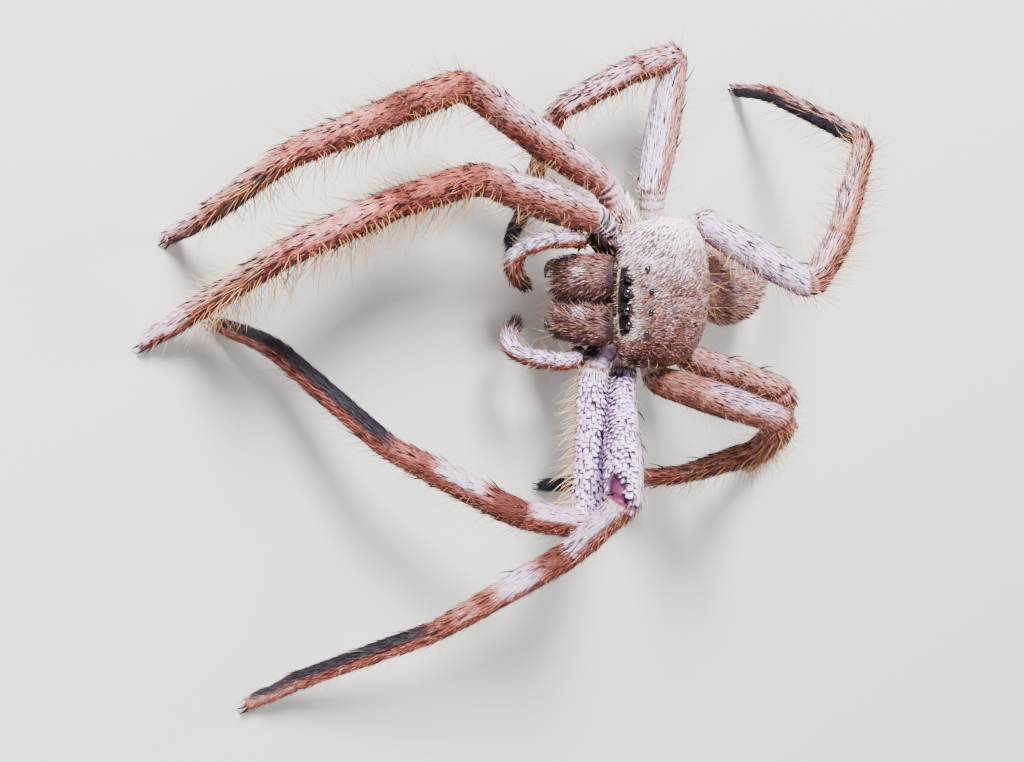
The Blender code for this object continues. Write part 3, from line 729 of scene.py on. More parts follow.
        # Painted shadow: the front below the eye band is darkened, as in the gap above the jaws.
        marks["blot"] = 0.9 * ease(1.95, 1.8, p[:, 2]) * ease(-6.0, -6.6, y)
        clear = np.ones(len(p))
        for ex, ey, radius in EYE_PLACES.values():
            near = np.hypot(np.abs(x) - ex, y - ey)
            clear *= ease(radius * 1.05, radius * 1.30, near)
            if ey > -6.0:
                ring = hump(near - radius * 1.12, 0.14)
                marks["blot"] = np.maximum(marks["blot"], 0.85 * ring)
        marks["down"] = top * clear * (1.0 - marks["black"])
        marks["dash"] = top * clear * (1.0 - 0.75 * patch) * (1.0 - marks["black"])
        marks["stroke"] = 1.30 - 0.25 * ease(-4.6, -6.4, y)
        marks["seta"] = 0.05 * top * clear + 0.10 * ease(2.6, 1.9, p[:, 2]) * top * (1.0 - edge)
        marks["seta"] += 0.8 * edge
        marks["long"] = 1.0 - 0.45 * ease(-4.6, -6.4, y)
        way = np.stack((-0.10 * x, -np.ones(len(p)), np.zeros(len(p))), axis=1)
        marks["lie"] = unit(way)
        marks["grain"] = np.stack((x, y * 1.0, p[:, 2]), axis=1)
        return marks


@dataclass
class Abdomen:
    """Egg-shaped abdomen with soft long hair."""

    front: float = 7.2
    rear: float = 20.4
    width: float = 9.7
    height: float = 7.4
    level: float = -0.9
    droop: float = 0.12
    turn: float = 0.045
    sides: int = 84
    rows: int = 84

    def surface(self) -> Surface:
        """Shape the egg, with faint folds, and mark it."""
        t = np.linspace(-1.0, 1.0, self.rows + 2)[1:-1]
        u = np.clip(np.where(t > 0, t, t / 0.94), -1.0, 1.0)
        wide = np.cos(u * math.pi / 2) ** 0.92 * (1.0 + 0.10 * np.sin(u * math.pi / 2))
        y = mix(self.front + 0.9, self.rear, (np.sin(u * math.pi / 2) + 1.0) / 2.0)
        y = np.where(t < -0.94, self.front + 0.9 - (-0.94 - t) / 0.06 * 0.75, y)
        angle = np.linspace(0.0, 2 * math.pi, self.sides, endpoint=False)
        c, s = np.cos(angle)[None, :], np.sin(angle)[None, :]
        least_x, least_z = np.where(t > 0.9, 0.1, 0.75), np.where(t > 0.9, 0.1, 0.65)
        half_x = np.maximum((self.width / 2) * wide - COAT_DEPTH, least_x)[:, None]
        half_z = np.maximum((self.height / 2) * wide - COAT_DEPTH, least_z)[:, None]
        level = self.level - self.droop * (y - self.front)
        x = half_x * c + (self.turn * (y - self.front))[:, None]
        z = level[:, None] + half_z * s
        rings = np.stack((x, np.broadcast_to(y[:, None], x.shape), z), axis=2)
        first = np.array((0.0, self.front + 0.12, self.level))
        last = np.array((self.turn * (self.rear - self.front), self.rear, float(level[-1])))
        made = ring_surface(rings, first, last, (t + 1.0) / 2.0)
        p = made.points
        across = p[:, 0] - self.turn * (p[:, 1] - self.front)
        above = ease(0.0, 1.5, p[:, 2] - (self.level - self.droop * (p[:, 1] - self.front)))
        for place, reach in ((10.6, 1.15), (12.9, 1.35), (15.1, 1.2)):
            near = np.hypot(np.abs(across) - reach, p[:, 1] - place)
            p[:, 2] -= 0.16 * hump(near, 0.40) * above
        made.marks = self.marks(p, across, above, made)
        made.points = tilt(p)
        made.marks["lie"] = tilt(made.marks["lie"]) - np.array((0.0, 0.0, BODY_HEIGHT))
        return made

    def spinnerets(self) -> list[Surface]:
        """The six small cones at the rear."""
        rear = np.array((self.turn * 12.0, self.rear - 1.0, self.level - self.droop * 12.0 - 0.9))
        made = []
        for x, z, length, radius, spread in (
                (0.55, 0.45, 2.25, 0.42, 8.0), (0.72, -0.75, 2.15, 0.46, 10.0), (0.28, -0.15, 1.85, 0.27, 3.0)):
            for side in (1.0, -1.0):
                way = unit(np.array((side * math.sin(math.radians(spread)), 1.0, -0.30)))
                start = rear + np.array((side * x, 0.0, z))
                path = np.stack([start + way * length * share for share in (0.0, 0.55, 0.80, 0.97)])
                cone = dress_under(capsule(path, np.array((1.0, 0.92, 0.70, 0.42)) * radius, 18))
                cone.marks["seta"][:] = 0.5
                cone.marks["long"][:] = 0.45
                made.append(cone)
        return made

    def marks(self, p: Array, across: Array, above: Array, made: Surface) -> dict[str, Array]:
        """Marks of the abdomen, from its points in the level frame."""
        marks = marks_like(len(p))
        normal = made.normals()
        y = p[:, 1]
        # Painted light: the abdomen is paler on the faces turned to the light.
        side = ease(-0.4, 0.9, normal @ unit(np.array((-0.75, 0.0, 0.66))))
        marks["bloom"] = 0.34 + 0.24 * side
        marks["rust"] = np.full(len(p), 0.22)
        marks["body"][:] = 1.0
        heart = hump(across, 0.55) * ease(8.4, 9.4, y) * ease(14.4, 12.6, y) * above
        marks["blot"] = 0.22 * heart
        for place, reach in ((10.6, 1.15), (12.9, 1.35), (15.1, 1.2)):
            near = np.hypot(np.abs(across) - reach, y - place)
            marks["blot"] = np.maximum(marks["blot"], 0.75 * hump(near, 0.30) * above)
        marks["down"] = np.ones(len(p)) * ease(self.front + 0.3, self.front + 0.8, y)
        marks["dash"] = 0.40 * marks["down"]
        marks["seta"] = 0.30 * marks["down"]
        marks["long"] = np.full(len(p), 0.62)
        marks["stroke"] = np.full(len(p), 1.40)
        marks["lie"] = np.tile(np.array((0.0, 1.0, 0.0)), (len(p), 1))
        marks["grain"] = np.stack((p[:, 0], y, p[:, 2]), axis=1)
        return marks


@dataclass
class Sternum:
    """Plate between the leg bases, with the lobes and lip in front."""

    width: float = 6.4
    front: float = -4.6
    rear: float = 5.4
    bottom: float = -2.5
    sides: int = 48
    rows: int = 40

    def surface(self) -> Surface:
        """Shape the plate and mark it."""
        t = np.linspace(-1.0, 1.0, self.rows + 2)[1:-1]
        middle = (self.front + self.rear) / 2
        y = mix(middle, np.where(t > 0, self.rear, self.front), np.abs(t))
        angle = np.linspace(0.0, 2 * math.pi, self.sides, endpoint=False)
        c, s = np.cos(angle)[None, :], np.sin(angle)[None, :]
        half = np.maximum(self.width / 2 * (1.0 - np.abs(t) ** 4.0) ** 0.5, 0.9)[:, None] - 0.08
        top = 0.86
        z = np.where(s > 0, mix(-0.8, top, np.abs(s) ** 0.4), mix(-0.8, self.bottom + 0.08, np.abs(s) ** 0.8))
        x = half * np.sign(c) * np.abs(c) ** 0.6
        rings = np.stack((x, np.broadcast_to(y[:, None], x.shape), z + 0.0 * x), axis=2)
        made = ring_surface(
            rings, np.array((0.0, self.front, -0.8)), np.array((0.0, self.rear, -0.8)), (t + 1) / 2)
        return dress_under(made)

    def lobes(self) -> list[Surface]:
        """The two lobes and the lip below the jaws."""
        made = []
        for side in (1.0, -1.0):
            path = np.array(((side * 1.1, -3.4, -1.7), (side * 1.3, -4.6, -1.85), (side * 1.55, -5.8, -2.0)))
            made.append(dress_under(capsule(path, np.array((0.62, 0.74, 0.60)), 20)))
        path = np.array(((0.0, -3.4, -1.8), (0.0, -4.3, -1.95), (0.0, -5.0, -2.1)))
        made.append(dress_under(capsule(path, np.array((0.52, 0.55, 0.44)), 18)))
        return made


def dress_under(made: Surface) -> Surface:
    """Mark a piece of the underside, and tilt it with the body."""
    p = made.points
    marks = marks_like(len(p))
    marks["bloom"] = np.full(len(p), 0.16)
    marks["body"] = np.full(len(p), 1.0)
    marks["rust"] = np.full(len(p), 0.25)
    marks["down"] = np.full(len(p), 0.8)
    marks["dash"] = np.full(len(p), 0.7)
    marks["seta"] = np.full(len(p), 0.18)
    marks["long"] = np.full(len(p), 0.7)
    marks["lie"] = np.tile(np.array((0.0, 1.0, 0.0)), (len(p), 1))
    marks["grain"] = p.copy()
    made.marks = marks
    made.points = tilt(p)
    return made


def capsule(path: Array, radii: Array, sides: int) -> Surface:
    """Round-ended tube through a few points.

    Args:
        path: Points along the middle line.
        radii: Radius at each of them.
        sides: Points round each ring.

    Returns:
        The tube as a surface.
    """
    line, radius, share = eased_path(path, radii, 0.10)
    return sweep(line, radius, share, sides, np.array((0.0, 0.0, 1.0)))


def eased_path(path: Array, radii: Array, step: float) -> tuple[Array, Array, Array]:
    """Smooth curve through points, with round ends added.

    Args:
        path: Points to pass through.
        radii: Radius at each point.
        step: Distance between the new points.

    Returns:
        Points, radii and shares of the length along the curve.
    """
    reach = np.concatenate(([0.0], np.cumsum(np.linalg.norm(np.diff(path, axis=0), axis=1))))
    padded = np.concatenate(([2 * path[0] - path[1]], path, [2 * path[-1] - path[-2]]))
    fine, fine_reach = [], []
    for i in range(len(path) - 1):
        p0, p1, p2, p3 = padded[i:i + 4]
        for t in np.linspace(0.0, 1.0, 14, endpoint=False):
            fine.append(0.5 * (2 * p1 + (p2 - p0) * t + (2 * p0 - 5 * p1 + 4 * p2 - p3) * t ** 2
                               + (3 * p1 - p0 - 3 * p2 + p3) * t ** 3))
            fine_reach.append(mix(reach[i], reach[i + 1], t))
    fine.append(path[-1])
    fine_reach.append(reach[-1])
    count = max(6, int(reach[-1] / step))
    at = np.linspace(0.0, reach[-1], count)
    curve = np.stack([np.interp(at, fine_reach, np.array(fine)[:, k]) for k in range(3)], axis=1)
    radius = np.interp(at, reach, radii)
    start, end = unit(curve[0] - curve[1]), unit(curve[-1] - curve[-2])
    caps = np.array((0.985, 0.88, 0.66, 0.36))
    head = curve[0] + start * (caps * radius[0])[:, None]
    tail = curve[-1] + end * (caps[::-1] * radius[-1])[:, None]
    line = np.concatenate((head, curve, tail))
    widths = np.concatenate((np.sqrt(1 - caps ** 2) * radius[0], radius, np.sqrt(1 - caps[::-1] ** 2) * radius[-1]))
    along = np.concatenate(([0.0], np.cumsum(np.linalg.norm(np.diff(line, axis=0), axis=1))))
    return line, widths, along / along[-1]


def sweep(line: Array, radius: Array, share: Array, sides: int, up: Array) -> Surface:
    """Round tube along a line.

    Args:
        line: Points of the middle line.
        radius: Radius at each.
        share: Share of the length at each.
        sides: Points round each ring.
        up: Direction that the back of the tube starts from.

    Returns:
        The tube, closed at both ends.
    """
    way, side, back = turned_frames(line, up)
    angle = np.linspace(0.0, 2 * math.pi, sides, endpoint=False)
    ring = (side[:, None, :] * np.sin(angle)[None, :, None] + back[:, None, :] * np.cos(angle)[None, :, None])
    rings = line[:, None, :] + ring * radius[:, None, None]
    first = line[0] - way[0] * radius[0] * 0.2
    last = line[-1] + way[-1] * radius[-1] * 0.2
    return ring_surface(rings, first, last, 0.01 + 0.98 * share)


@dataclass
class Jaw:
    """One chelicera with its fang."""

    side: Side
    width: float = 4.35
    depth: float = 3.9
    length: float = 6.6
    lean: float = 24.0
    close: float = 0.22
    sides: int = 72
    rows: int = 64

    def axes(self) -> tuple[Array, Array, Array]:
        """Top of the jaw, its way down and its front, in the level frame."""
        lean = math.radians(self.lean)
        down = np.array((0.0, -math.sin(lean), -math.cos(lean)))
        front = np.array((0.0, -math.cos(lean), math.sin(lean)))
        return np.array((self.side.value * self.width / 2, -6.75, 2.2)), down, front

    def surface(self) -> Surface:
        """Shape the stout jaw and mark it."""
        top, down, front = self.axes()
        side = self.side.value
        u = np.linspace(0.0, 1.0, self.rows + 2)[1:-1]
        swell = np.sin(math.pi * mix(0.14, 0.82, u)) ** 0.28 * mix(1.0, 0.95, ease(0.5, 1.0, u))
        swell = swell * np.clip(1.0 - (2 * u - 1) ** 40, 0.0, 1.0) ** 0.5
        angle = np.linspace(0.0, 2 * math.pi, self.sides, endpoint=False)
        c, s = np.cos(angle)[None, :], np.sin(angle)[None, :]
        bulge = np.where(s > 0, 1.0 + 0.18 * np.sin(math.pi * u)[:, None], 1.0)
        wide = (self.width / 2 * swell)[:, None] * np.sign(c) * np.abs(c) ** 0.8
        deep = (self.depth / 2 * swell)[:, None] * s * bulge
        line = top + down * (self.length * u)[:, None]
        line[:, 0] -= side * self.close * ease(0.0, 1.0, u)
        rings = line[:, None, :] + wide[:, :, None] * np.array((1.0, 0.0, 0.0)) + deep[:, :, None] * front
        end = top + down * self.length - np.array((side * self.close, 0.0, 0.0))
        made = ring_surface(rings, top, end, u)
        p = made.points
        p -= made.normals() * COAT_DEPTH * 0.8
        past = (p - (top + down * self.length * 0.955)) @ down
        p -= np.maximum(past, 0.0)[:, None] * down * 0.85
        plane = unit(np.array((0.0, -0.62, -0.785)))
        short = (p - (np.array((0.0, -6.9, 1.55)) + plane * 0.3)) @ plane
        p -= np.minimum(short, 0.0)[:, None] * plane
        p[:, 0] -= side * np.minimum(side * p[:, 0] - 0.17, 0.0)
        made.marks = self.marks(p, made.normals())
        made.points = tilt(p)
        made.marks["lie"] = tilt(made.marks["lie"]) - np.array((0.0, 0.0, BODY_HEIGHT))
        return made

    def marks(self, p: Array, normal: Array) -> dict[str, Array]:
        """Marks of the jaw, from its points in the level frame."""
        top, down, front = self.axes()
        marks = marks_like(len(p))
        along = ((p - top) @ down) / self.length
        face = normal @ front
        spot = np.hypot((along - 0.56) * self.length, p[:, 0] - self.side.value * 2.0 + 0.9)
        marks["bloom"] = 0.26 + 0.50 * hump(spot, 0.66) * ease(0.3, 0.8, face)
        # Painted highlight: paler on the faces turned to the spider's right, where the light comes from.
        marks["bloom"] += 0.14 * ease(0.2, -0.8, normal[:, 0])
        marks["body"][:] = 1.0
        # Painted shadow: darker towards the top of the jaw, in the gap under the front of the carapace.
        marks["blot"] = np.clip(0.10 + 0.45 * ease(0.28, 0.12, along) - 0.3 * hump(spot, 1.3), 0.0, 1.0)
        marks["dusk"] = np.clip(0.24 - 0.30 * hump(spot, 1.0), 0.0, 1.0)
        outer = self.side.value * normal[:, 0]
        marks["rust"] = 0.25 * ease(0.55, 0.95, outer) * ease(0.05, 0.2, along)
        corner = 0.95 if self.side is Side.LEFT else 0.35
        marks["black"] = corner * ease(0.80, 0.90, along) * ease(0.1, 0.5, outer)
        # Painted shadow: the topmost band takes the dark seam colour, for the gap under the carapace.
        marks["joint"] = 0.97 * ease(0.19, 0.13, along)
        marks["down"] = 0.70 * ease(0.10, 0.14, along)
        marks["dash"] = 1.0 * ease(0.06, 0.10, along)
        marks["stroke"] = np.full(len(p), 1.10)
        marks["seta"] = 0.05 + 0.35 * ease(0.75, 0.95, along) + 0.15 * ease(0.3, -0.1, face)
        marks["long"] = 0.42 + 0.30 * ease(0.7, 1.0, along)
        inner = 0.9 * ease(0.25, -0.45, outer) * ease(-0.5, 0.3, face)
        marks["lie"] = unit(down + inner[:, None] * np.array((-self.side.value, 0.0, 0.0)) + 0.2 * inner[:, None] * front)
        marks["grain"] = np.stack((p[:, 0], along * self.length, (p @ front)), axis=1)
        return marks

    def fang(self) -> Surface:
        """Curved fang, folded inwards below the jaw."""
        top, down, front = self.axes()
        side = self.side.value
        tip = top + down * (self.length * 0.955)
        base = tip + np.array((side * 1.05, 0.0, 0.0)) + front * 0.25
        path, radii = [], []
        for u in np.linspace(0.0, 1.0, 9):
            turn = math.radians(mix(-10.0, 82.0, u ** 0.9))
            place = base - np.array((side * (1.0 - math.cos(max(0.0, turn))) * 1.55, 0.0, 0.0))
            place = place + down * (0.12 + 1.15 * math.sin(turn + math.radians(10)))
            path.append(place - front * 0.25 * u)
            radii.append(mix(0.55, 0.07, u ** 1.1))
        return plain_marks(capsule(tilt(np.array(path)), np.array(radii), 20))


def plain_marks(made: Surface) -> Surface:
    """Give a piece that carries no hair its marks at rest."""
    made.marks = marks_like(len(made.points))
    return made


PALP_PATHS: dict[Side, tuple[tuple[float, float, float, float], ...]] = {
    Side.RIGHT: (
        (-5.2, -7.9, -2.0, 0.66), (-5.6, -9.3, -1.1, 0.74), (-5.8, -11.6, -0.7, 0.76),
        (-5.8, -13.8, -1.0, 0.80), (-5.3, -15.4, -1.8, 0.76), (-4.3, -15.9, -2.8, 0.78),
        (-2.8, -15.0, -3.6, 0.80), (-1.7, -13.5, -4.0, 0.64)),
    Side.LEFT: (
        (5.2, -7.9, -2.2, 0.66), (5.6, -9.2, -1.6, 0.74), (5.6, -10.9, -1.4, 0.76),
        (5.2, -12.9, -1.8, 0.80), (4.7, -14.7, -2.6, 0.76), (3.9, -15.7, -3.4, 0.78),
        (2.9, -15.4, -4.0, 0.80), (2.1, -14.3, -4.4, 0.64)),
}


@dataclass
class Palp:
    """One palp, from the side of the mouth to its dark tip."""

    side: Side
    sides: int = 32

    def surface(self) -> Surface:
        """Shape the palp and mark it."""
        path = np.array(PALP_PATHS[self.side])
        line, radius, share = eased_path(tilt(path[:, :3]), path[:, 3] - 0.05, 0.16)
        for place in (0.20, 0.42, 0.60):
            radius = radius * (1.0 - 0.12 * hump(share - place, 0.014))
        made = sweep(line, radius, share, self.sides, np.array((0.0, 0.0, 1.0)))
        along = np.concatenate((np.repeat(share, self.sides), (0.0, 1.0)))
        way = np.repeat(unit(np.gradient(line, axis=0)), self.sides, axis=0)
        marks = marks_like(len(made.points))
        normal = made.normals()
        # Painted light: paler on the side turned to the light; the reddish tint on the side turned away is partly
        # painted shade.
        marks["bloom"] = ease(-0.2, 0.55, normal @ PAINTED_LIGHT_WAY) * ease(1.0, 0.7, along) * ease(0.02, 0.14, along) + 0.10
        marks["rust"] = 0.9 * ease(0.10, -0.35, normal @ PAINTED_LIGHT_WAY) * ease(0.95, 0.7, along)
        marks["dusk"] = 0.95 * ease(0.78, 0.90, along)
        # Painted shadow: black at the base, where the palp passes into the shade under the head; the dark tip is its
        # own colour.
        marks["black"] = np.maximum(0.85 * ease(0.06, 0.0, along), 0.85 * ease(0.84, 0.93, along))
        for place in (0.20, 0.42, 0.60):
            marks["joint"] = np.maximum(marks["joint"], 0.7 * hump(along - place, 0.010))
        marks["down"] = np.ones(len(along))
        marks["dash"] = 0.80 + 0.20 * ease(0.10, 0.03, along)
        marks["seta"] = 0.35 * np.ones(len(along))
        marks["long"] = 0.55 * np.ones(len(along))
        marks["stroke"] = 1.2 + 1.0 * ease(0.10, 0.03, along)
        marks["lie"] = np.concatenate((way, way[:1], way[-1:]))
        marks["grain"] = self.grain(share, line)
        made.marks = marks
        return made

    def grain(self, share: Array, line: Array) -> Array:
        """Place round and along the palp in millimetres, for strokes along it."""
        length = float(np.sum(np.linalg.norm(np.diff(line, axis=0), axis=1)))
        return tube_grain(share * length, self.sides, 0.75)


def tube_grain(along: Array, sides: int, radius: float) -> Array:
    """Coordinates that run along a tube and close round it.

    Args:
        along: Distance along the tube at each ring.
        sides: Points round each ring.
        radius: Radius that stands for the whole tube.

    Returns:
        One vector for each point and for the two ends.
    """
    angle = np.linspace(0.0, 2 * math.pi, sides, endpoint=False)
    x = np.tile(np.cos(angle) * radius, len(along))
    z = np.tile(np.sin(angle) * radius, len(along))
    y = np.repeat(along, sides)
    rows = np.stack((x, y, z), axis=1)
    return np.concatenate((rows, [(0.0, along[0], 0.0)], [(0.0, along[-1], 0.0)]))


@dataclass
class LegColors:
    """Where one leg is pale, red, slate or blotched.

    Places run along the leg in segments: 1 to 2 is the femur, 2 to 3 the
    patella, 3 to 4 the tibia, 4 to 5 the metatarsus and 5 to 6 the tarsus.
    Each window holds its start, its end and its strength. The pale windows show on the side turned to the light, so
    they are partly painted highlight; the darkened side and the black hollow at the base are painted shade.
    """

    pale: tuple[tuple[float, float, float], ...]
    # femur_edge and far_edge: where the pale windows fade towards the side turned from the light, which paints
    # highlight and shade.
    femur_edge: tuple[float, float] = (-0.9, -0.1)
    far_edge: tuple[float, float] = (-0.10, 0.40)
    red: tuple[float, float] = (0.2, 0.5)
    sole: tuple[float, float, float] = (0.3, -0.4, -0.85)
    slate: tuple[tuple[float, float, float], ...] = ((4.1, 5.9, 0.9),)
    slate_edge: tuple[float, float] = (0.05, 0.30)
    blots: tuple[tuple[float, float, float], ...] = ()
    scales: float = 0.0
    pit: bool = False
    # Painted shadow: direction of the base's side that turns black where it lies under the head and jaws.
    hollow_shadow: tuple[float, float, float] | None = None
    dashes: tuple[float, float] = (0.60, 0.50)
    fringe: tuple[float, float] = (0.9, 1.0)
    comb: bool = False
    folds: tuple[float, ...] = (-0.75, -1.55, -2.3)
    deep: float = 0.05
    crease: float = 0.20
    ink: float = 0.0
    muddy: float = 0.0
    bridge: float = 0.0
    soft: float = 0.05
    outline: float = 0.0
    # Painted shade: window and strength by which the pale fades on the side turned from the light.
    shaded_side: tuple[float, float, float] = (0.0, 0.0, 0.0)


@dataclass
class Leg:
    """One leg from its base at the sternum to its claws."""

    name: str
    hip: tuple[float, float, float]
    headings: tuple[tuple[float, float], ...]
    spot: tuple[float, float]
    lengths: tuple[float, ...]
    radii: tuple[float, ...]
    femur_radius: float
    root: tuple[float, float, float]
    colors: LegColors
    femur_end: float = 0.0
    sides: int = 32
    foot_level: float = 0.85

    def joints(self) -> Array:
        """Base, hip, knee, patella end, ankle, wrist and foot."""
        side = 1.0 if self.name[0] == "L" else -1.0
        root = tilt(np.array((self.root[0] * side, self.root[1], self.root[2])))[0]
        points = [root, np.array(self.hip)]
        for (turn, rise), length in zip(self.headings, self.lengths):
            a, e = math.radians(turn), math.radians(rise)
            way = np.array((math.sin(a) * math.cos(e), -math.cos(a) * math.cos(e), math.sin(e)))
            points.append(points[-1] + way * length)
        points.append(np.array((self.spot[0], self.spot[1], self.foot_level)))
        return np.array(points)

    def stations(self) -> tuple[Array, Array]:
        """Distances along the leg: of its joints, and of its rings."""
        joints = self.joints()
        at = np.concatenate(([0.0], np.cumsum(np.linalg.norm(np.diff(joints, axis=0), axis=1))))
        fine = [np.arange(0.0, at[-1], 0.30)]
        for place in at[1:-1]:
            fine.append(np.arange(place - 1.6, place + 1.6, 0.10))
        fine.append(np.arange(at[-1] - 1.4, at[-1], 0.14))
        rings = np.unique(np.round(np.concatenate(fine), 3))
        rings = rings[(rings > 0.02) & (rings < at[-1] - 0.02)]
        keep = np.concatenate(([True], np.diff(rings) > 0.05))
        return at, rings[keep]

    def middle(self, at: Array, rings: Array) -> Array:
        """Middle line of the leg, rounded at the joints."""
        joints = self.joints()
        line = np.stack([np.interp(rings, at, joints[:, k]) for k in range(3)], axis=1)
        for i in range(1, len(at) - 1):
            before, after = unit(joints[i] - joints[i - 1]), unit(joints[i + 1] - joints[i])
            reach = min(1.45, 0.45 * (at[i] - at[i - 1]), 0.45 * (at[i + 1] - at[i]))
            near = np.abs(rings - at[i]) < reach
            t = ((rings[near] - at[i]) / reach + 1.0)[:, None] / 2.0
            a, b = joints[i] - before * reach, joints[i] + after * reach
            line[near] = a * (1 - t) ** 2 + joints[i] * 2 * t * (1 - t) + b * t ** 2
        return line

    def widths(self, at: Array, rings: Array) -> Array:
        """Radius of the skin at each ring."""
        hip, knee, patella, tibia, ankle, meta, wrist, foot = self.radii
        femur, end = self.femur_radius, self.femur_end or knee
        swell = 0.55 if self.femur_end else 0.0
        knots = [(0, 0.0, 1.30), (0, 0.45, 1.42), (0, 0.72, 1.30), (0, 1.0, hip),
                 (1, 0.10, mix(hip, femur, 0.45)), (1, 0.25, femur * 0.97), (1, 0.45, mix(femur, end, swell)),
                 (1, 0.68, mix(femur, end, max(0.35, swell * 1.7))), (1, 0.88, end),
                 (1, 1.0, mix(knee, end, 0.6)), (2, 0.12, mix(knee, patella, 0.5)),
                 (2, 0.45, patella), (2, 0.80, patella * 0.98), (2, 1.0, mix(patella, tibia, 0.5) * 0.98),
                 (3, 0.12, tibia), (3, 0.40, tibia), (3, 0.75, mix(tibia, ankle, 0.5)), (3, 1.0, ankle),
                 (4, 0.20, meta), (4, 0.55, mix(meta, wrist, 0.4)), (4, 1.0, wrist),
                 (5, 0.35, wrist * 0.92), (5, 0.70, wrist * 0.88), (5, 0.88, foot * 0.78), (5, 1.0, foot * 0.62)]
        where = [mix(at[i], at[i + 1], share) for i, share, _ in knots]
        radius = np.interp(rings, where, [r for _, _, r in knots]) - COAT_DEPTH
        for i, (depth, wide) in enumerate(((0.05, 0.22), (0.09, 0.16), (0.07, 0.16), (0.07, 0.14), (0.06, 0.14))):
            off = rings - at[i + 1]
            radius = radius * (1.0 - depth * hump(off, wide))
            radius = radius + 0.03 * (hump(off - 0.42, 0.2) + hump(off + 0.42, 0.2))
        for off in self.colors.folds:
            radius = radius * (1.0 - self.colors.deep * hump(rings - at[1] - off, 0.15))
        return radius

    def surface(self) -> Surface:
        """Shape the whole leg and mark its hair and colours."""
        at, rings = self.stations()
        line = self.middle(at, rings)
        radius = self.widths(at, rings)
        joints = self.joints()
        foot = unit(joints[-1] - joints[-2])
        caps = np.array((0.30, 0.56, 0.76, 0.90, 0.975))
        line = np.concatenate((line, joints[-1] + foot * (caps * radius[-1])[:, None]))
        tail = radius[-1]
        radius = np.concatenate((radius, np.sqrt(1 - caps ** 2) * tail))
        along = np.concatenate((rings, at[-1] + caps * tail))
        near = ease(at[-1] - 2.2, at[-1], along)
        line[:, 2] = np.where(near > 0, np.minimum(line[:, 2], mix(line[:, 2], tail + 0.10, near)), line[:, 2])
        made = sweep(line, radius, along / along[-1], self.sides, np.array((0.0, 0.35, 0.94)))
        way = np.repeat(unit(np.gradient(line, axis=0)), self.sides, axis=0)
        way = np.concatenate((way, way[:1], way[-1:]))
        q = np.concatenate((np.repeat(along, self.sides), (along[0], along[-1])))
        pit = self.pit_depth(made, at, q)
        made.points -= made.normals() * (0.50 * pit)[:, None]
        made.points[:, 2] = np.maximum(made.points[:, 2], 0.06)
        made.marks = self.marks(made, at, q, way, pit)
        made.marks["grain"] = tube_grain(along, self.sides, 1.3)
        return made

    def pit_depth(self, made: Surface, at: Array, q: Array) -> Array:
        """Share of the bare pit beside the knee, on the leg that shows one."""
        if not self.colors.pit:
            return np.zeros(len(q))
        facing = made.normals() @ unit(np.array((-0.16, -0.96, 0.22)))
        taper = mix(0.50, 0.97, ease(at[2] - 0.2, at[2] - 5.0, q))
        along = ease(at[2] - 5.2, at[2] - 3.0, q) * ease(at[2] + 0.5, at[2] + 0.1, q)
        return ease(0.0, 0.10, facing - taper) * along

    def marks(self, made: Surface, at: Array, q: Array, way: Array, pit: Array) -> dict[str, Array]:
        """Marks of the leg's hair and colours.

        Args:
            made: Skin of the leg.
            at: Distances of the joints.
            q: Distance of each point.
            way: Direction of the leg at each point.
            pit: Share of the bare pit at each point.

        Returns:
            The marks by name.
        """
        count = len(made.points)
        marks = marks_like(count)
        normal = made.normals()
        look = self.colors
        place = np.interp(q, at, np.arange(len(at)))
        femur = ease(at[1] - 0.5, at[1] + 0.5, q) * ease(at[2] + 0.5, at[2] - 0.5, q)
        foot = ease(at[5] - 0.6, at[5] + 0.6, q)
        shin = ease(at[4] - 0.8, at[4] + 0.8, q)
        # Painted light: the pale windows, the base and the foot are paler on the side turned to the light.
        lit = normal @ PAINTED_LIGHT_WAY
        near = ease(look.femur_edge[0], look.femur_edge[1], lit)
        far = ease(look.far_edge[0], look.far_edge[1], lit)
        pale = np.zeros(count)
        for start, end, strength in look.pale:
            pale = np.maximum(pale, strength * window(place, start, end, look.soft))
        # Painted shade: the pale windows fade on the side turned from the light.
        start, end, strength = look.shaded_side
        pale *= 1.0 - strength * window(place, start, end, 0.15) * ease(-0.1, 0.5, -(normal @ VIEW_LEFT))
        base = ease(at[1] + 0.4, at[1] - 0.6, q)
        pale = np.maximum(pale * mix(far, near, femur), 0.70 * base * ease(-0.2, 0.6, lit))
        marks["bloom"] = np.clip(0.12 + 0.10 * femur + pale + 0.25 * foot * ease(-0.2, 0.5, lit), 0.0, 1.0)
        marks["red"] = mix(look.red[1], look.red[0], femur) * (1.0 - base) * (1.0 - 0.5 * foot)
        if look.outline:
            marks["red"] *= 1.0 - 0.8 * ease(0.4, 0.9, pale) * (1.0 - femur)
        marks["body"] = 0.6 * base
        # The pale tufts at the base grow on the side turned to the light, partly painted highlight.
        marks["tuft"] = 0.85 * ease(at[1] + 1.1 + 0.9 * look.scales, at[1] - 0.2, q) * ease(-0.3, 0.3, lit)
